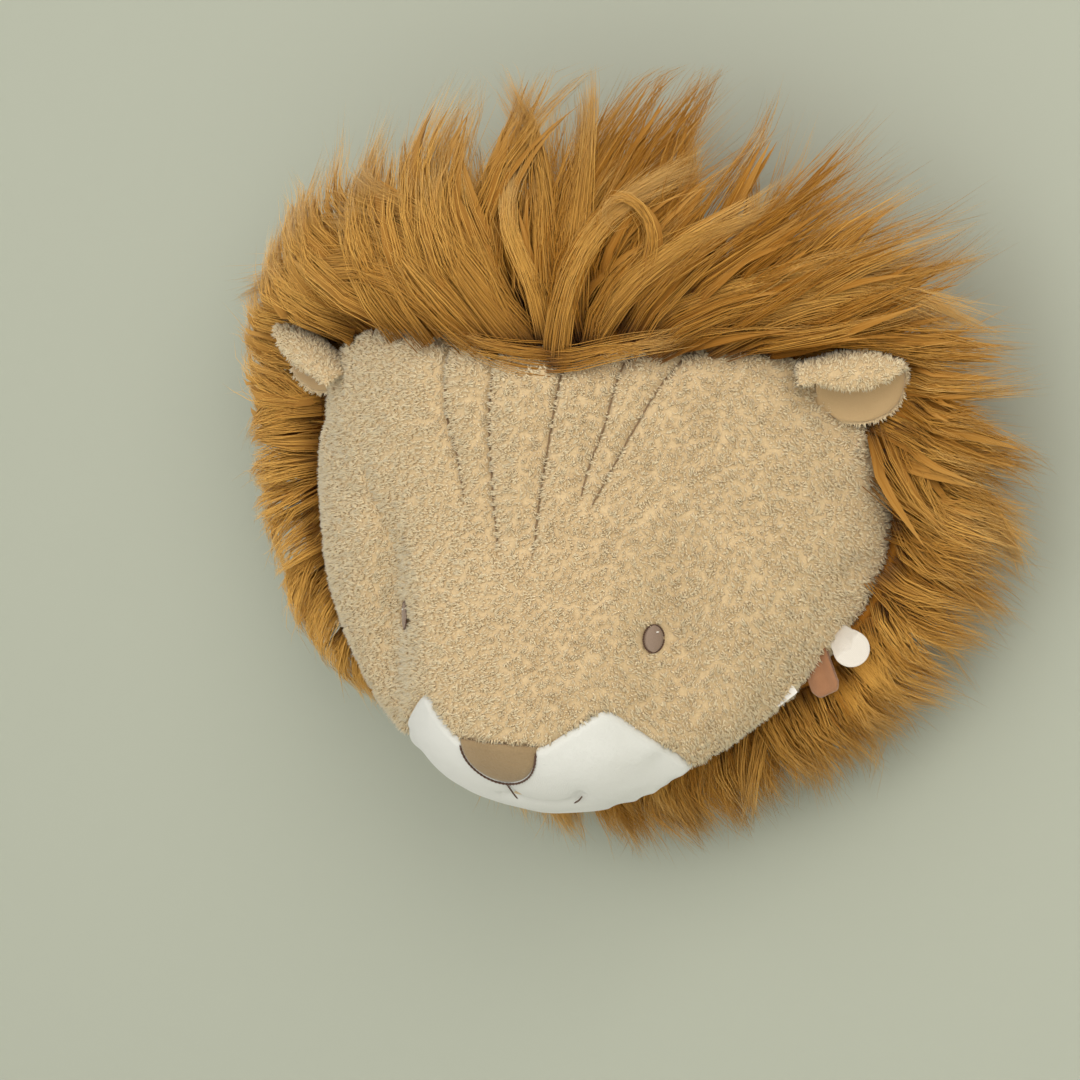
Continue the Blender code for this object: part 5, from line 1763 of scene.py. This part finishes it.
@dataclass
class Labels:
    """The folded suede tab, the bare round tag and the sliver of the care label in the lower right seam."""

    wardrobe: Wardrobe
    tab_place: Triple = (0.1195, -0.078, -0.0810)
    tab_size: Triple = (0.022, 0.0034, 0.013)
    tab_lean: float = math.radians(62)
    tag_place: Triple = (0.1325, -0.078, -0.0665)
    tag_radius: float = 0.0079
    tag_thickness: float = 0.0012
    tag_faces: Triple = (0.38, -0.92, 0.05)
    label_place: Triple = (0.1024, -0.084, -0.0869)
    label_size: Triple = (0.010, 0.0007, 0.014)
    label_lean: float = math.radians(50)

    def build(self) -> None:
        """Makes the three labels."""
        self._tab()
        self._tag()
        self._care_label()

    def _placed(self, points: np.ndarray, place: Triple, lean: float) -> np.ndarray:
        """Leans local points about Y and puts them in their place."""
        pose = Matrix.Translation(Vector(place)) @ Matrix.Rotation(lean, 4, "Y")
        return np.array([pose @ Vector(point) for point in points])

    def _tab(self) -> None:
        """A strip of suede folded over at its outer end, its two layers a little apart."""
        half, thick, width = self.tab_size[0] / 2, self.tab_size[1] / 2, self.tab_size[2] / 2
        turn = np.linspace(-math.pi / 2, math.pi / 2, 13)
        bend = [(half - thick + thick * math.cos(a), thick * math.sin(a)) for a in turn]
        slit, near, far = 0.00035, half - thick * 1.3, half - thick * 1.1
        inner = [(-half, slit), (near, slit), (far, 0.0), (near, -slit), (-half, -slit)]
        profile = np.array([(-half, -thick), *bend, (-half, thick), *inner])
        rings = []
        for share in np.linspace(-1, 1, 15):
            inset = 0.0030 * max(abs(share) - 0.55, 0.0) ** 2 / 0.2
            wave = 0.0003 * math.sin(5 * share)
            flat = 1 - 0.35 * abs(share) ** 8
            ring = np.stack([profile[:, 0] - 0.0040 - inset * (profile[:, 0] > 0),
                             profile[:, 1] * flat + wave,
                             np.full(len(profile), share * width)], axis=1)
            ring[:, 1] += 0.0040 * smooth_step((0.001 - ring[:, 0]) / half)
            rings.append(self._placed(ring, self.tab_place, self.tab_lean))
        piece = ribbon_piece("loop_tab_suede", rings)
        self.wardrobe.dress(piece, Cloth.SUEDE, "brown_suede", "loop_tab")

    def _tag(self) -> None:
        """A woven disc that narrows to the seam, with a raised hem."""
        to_seam, opening = math.radians(140), math.radians(52)
        turns = np.linspace(to_seam + opening, to_seam + 2 * math.pi - opening, 61)
        outline = [(self.tag_radius * math.cos(a), self.tag_radius * math.sin(a)) for a in turns]
        reach = self.tag_radius * 1.5
        ends = [(reach * math.cos(to_seam + side), reach * math.sin(to_seam + side))
                for side in (-0.36, 0.36)]
        outline = np.array(outline + ends)
        facing = Vector(self.tag_faces).normalized()
        across = facing.cross(Vector((0, 0, 1))).normalized() * -1
        up = facing.cross(across)
        if up.z < 0:
            up = -up
        centre = Vector(self.tag_place)
        half = self.tag_thickness / 2
        front = ((0.02, 0.55), (0.5, 0.55), (0.80, 0.55), (0.86, 0.6), (0.90, 1.0), (0.96, 1.0), (0.99, 0.7),
                 (1.0, 0.2))
        rings = []
        for scale, depth in (*front, *[(scale, -depth) for scale, depth in front[::-1]]):
            flat = outline * scale
            towards = (flat @ (math.cos(to_seam), math.sin(to_seam))) / self.tag_radius
            tuck = 0.0110 * np.maximum(towards - 0.25, 0)
            rings.append(np.array([centre + across * x + up * z + facing * (half * depth - back)
                                   for (x, z), back in zip(flat, tuck)]))
        piece = rings_piece("round_tag_tape", rings)
        self.wardrobe.dress(piece, Cloth.TAPE, "tag_fabric", "round_tag")

    def _care_label(self) -> None:
        """A thin satin strip with a slight curl."""
        half, thick, width = self.label_size[0] / 2, self.label_size[1] / 2, self.label_size[2] / 2
        grids = []
        for face in (-1, 1):
            rows = []
            for a in np.linspace(-1, 1, 13):
                row = [(a * half, face * thick * 0.6 - 0.0006 * a * a + 0.0003 * math.sin(3 * b), b * width)
                       for b in np.linspace(-1, 1, 13)]
                rows.append(self._placed(np.array(row), self.label_place, self.label_lean))
            grids.append(np.array(rows))
        piece = shell_piece("care_label_satin_strip", grids[0], grids[1])
        self.wardrobe.dress(piece, Cloth.SATIN, "tag_fabric", "care_label")


def ribbon_piece(name: str, rings: Sequence[np.ndarray]) -> bpy.types.Object:
    """A closed solid through rings whose outline is folded, so that its ends are filled as polygons."""
    count = len(rings[0])
    around = np.arange(count)
    far = (len(rings) - 1) * count
    faces = [tube_faces(len(rings), count), around[None, ::-1], far + around[None]]
    piece = mesh_piece(name, np.vstack(rings), faces)
    work = bmesh.new()
    work.from_mesh(piece.data)
    bmesh.ops.triangulate(work, faces=[face for face in work.faces if len(face.verts) > 4])
    work.to_mesh(piece.data)
    work.free()
    face_outwards(piece)
    select_only(piece)
    bpy.ops.object.shade_smooth_by_angle(angle=math.radians(50))
    return piece


@dataclass
class BackPanel:
    """The stiff back, covered with cloth that is drawn round its edge."""

    shape: HeadShape
    wardrobe: Wardrobe
    thickness: float = 0.006
    rounding: float = 0.0022

    def build(self) -> None:
        """Makes the covered board."""
        theta = full_turn(160)
        wide, high = self.shape.panel
        outline = np.stack([wide * np.cos(theta), 0 * theta, high * np.sin(theta)], axis=1)
        rings = [outline * scale for scale in (0.02, 0.45, 0.80, 0.93)]
        for turn in np.linspace(0, math.pi / 2, 6):
            inset = self.rounding * (1 - math.sin(turn))
            rings.append(outline * (1 - inset / 0.1) - (0, self.rounding * (1 - math.cos(turn)), 0))
        for depth in (0.0042, 0.0055):
            rings.append(outline * (1 - 0.01 * (depth > 0.005)) - (0, depth, 0))
        for scale in (0.93, 0.5, 0.02):
            rings.append(outline * scale - (0, self.thickness, 0))
        piece = rings_piece("back_panel_cloth", rings)
        self.wardrobe.dress(piece, Cloth.BACKING, "back_fabric", "back_panel", fill=0.1)


# The stage


@dataclass
class Studio:
    """Floor, backdrop, lights and camera."""

    wardrobe: Wardrobe
    aim: Triple = (-0.0018, -0.1055, -0.0255)
    towards: Triple = (0.4484, -0.8800, 0.1564)
    distance: float = 1.4
    view_angle: float = 19.0
    floor_z: float = -0.62

    def build(self) -> None:
        """Sets up everything round the head."""
        self._backdrop()
        self._lights()
        self._camera()

    def _plane(self, name: str, size: float, place: Triple, tilt: float,
               finish: StageFinish) -> bpy.types.Object:
        """A large flat square as stage."""
        select_only(bpy.context.view_layer.objects[0])
        bpy.ops.object.select_all(action="DESELECT")
        bpy.ops.mesh.primitive_plane_add(size=size, location=place, rotation=(tilt, 0, 0))
        plane = bpy.context.active_object
        plane.name = name
        bpy.ops.object.transform_apply(location=True, rotation=True, scale=True)
        plane.data.materials.append(finish.build())
        return plane

    def _backdrop(self) -> None:
        """A pale floor, and a soft green wall that can't be seen from behind."""
        self._plane("floor", 12, (0, 0, self.floor_z), 0, StageFinish("floor_paint", (0.68, 0.68, 0.64)))
        wall = self._plane("wall", 12, (0, 0.0006, 3.0), math.pi / 2,
                           StageFinish("wall_paint", (0.378, 0.401, 0.336), True))
        wall.visible_shadow = False

    def _area(self, name: str, place: Triple, target: Triple, size: float, power: float,
              colour: Colour) -> None:
        """A soft square light that looks at a target."""
        data = bpy.data.lights.new(name, "AREA")
        data.size = size
        data.energy = power
        data.color = colour
        light = bpy.data.objects.new(name, data)
        bpy.context.scene.collection.objects.link(light)
        light.location = place
        light.rotation_euler = (Vector(target) - Vector(place)).to_track_quat("-Z", "Y").to_euler()

    def _lights(self) -> None:
        """A large soft window at the right, a weak fill and two lights for the back."""
        self._area("key", (1.5, -2.0, 1.45), (0, 0, 0), 2.0, 47, (1.0, 0.95, 0.87))
        self._area("fill", (-0.8, -2.6, 0.6), (0, 0, -0.3), 2.2, 22, (1.0, 0.97, 0.93))
        self._area("back_right", (1.4, 1.8, 1.2), (0, 0, 0), 1.6, 20, (1.0, 0.98, 0.95))
        self._area("back_left", (-1.6, 1.6, 0.8), (0, 0, 0), 1.6, 22, (0.95, 0.98, 1.0))
        world = bpy.data.worlds.new("room")
        world.use_nodes = True
        background = world.node_tree.nodes["Background"]
        background.inputs[0].default_value = (0.96, 0.95, 0.92, 1)
        background.inputs[1].default_value = 0.76
        bpy.context.scene.world = world

    def _camera(self) -> None:
        """The camera at the photograph's angle."""
        data = bpy.data.cameras.new("camera")
        data.angle = math.radians(self.view_angle)
        camera = bpy.data.objects.new("camera", data)
        bpy.context.scene.collection.objects.link(camera)
        back = Vector(self.towards).normalized()
        right = Vector((0, 0, 1)).cross(back).normalized()
        up = back.cross(right)
        pose = Matrix((right, up, back)).transposed().to_4x4()
        pose.translation = Vector(self.aim) + back * self.distance
        camera.matrix_world = pose
        bpy.context.scene.camera = camera
        bpy.context.scene.view_settings.view_transform = "Standard"


def main() -> None:
    """Builds the head, the mane and the stage in order."""
    logging.basicConfig(level=logging.INFO, format="%(name)s %(message)s")
    wardrobe = Wardrobe()
    shape = HeadShape()
    Studio(wardrobe).build()
    head = StuffedHead(shape, wardrobe)
    head.build()
    pile = PlushPile(shape, wardrobe)
    pile.on_face(head)
    Ears(wardrobe).build(pile)
    Labels(wardrobe).build()
    BackPanel(shape, wardrobe).build()
    Mane(shape, wardrobe).build()


if __name__ == "__main__":
    main()
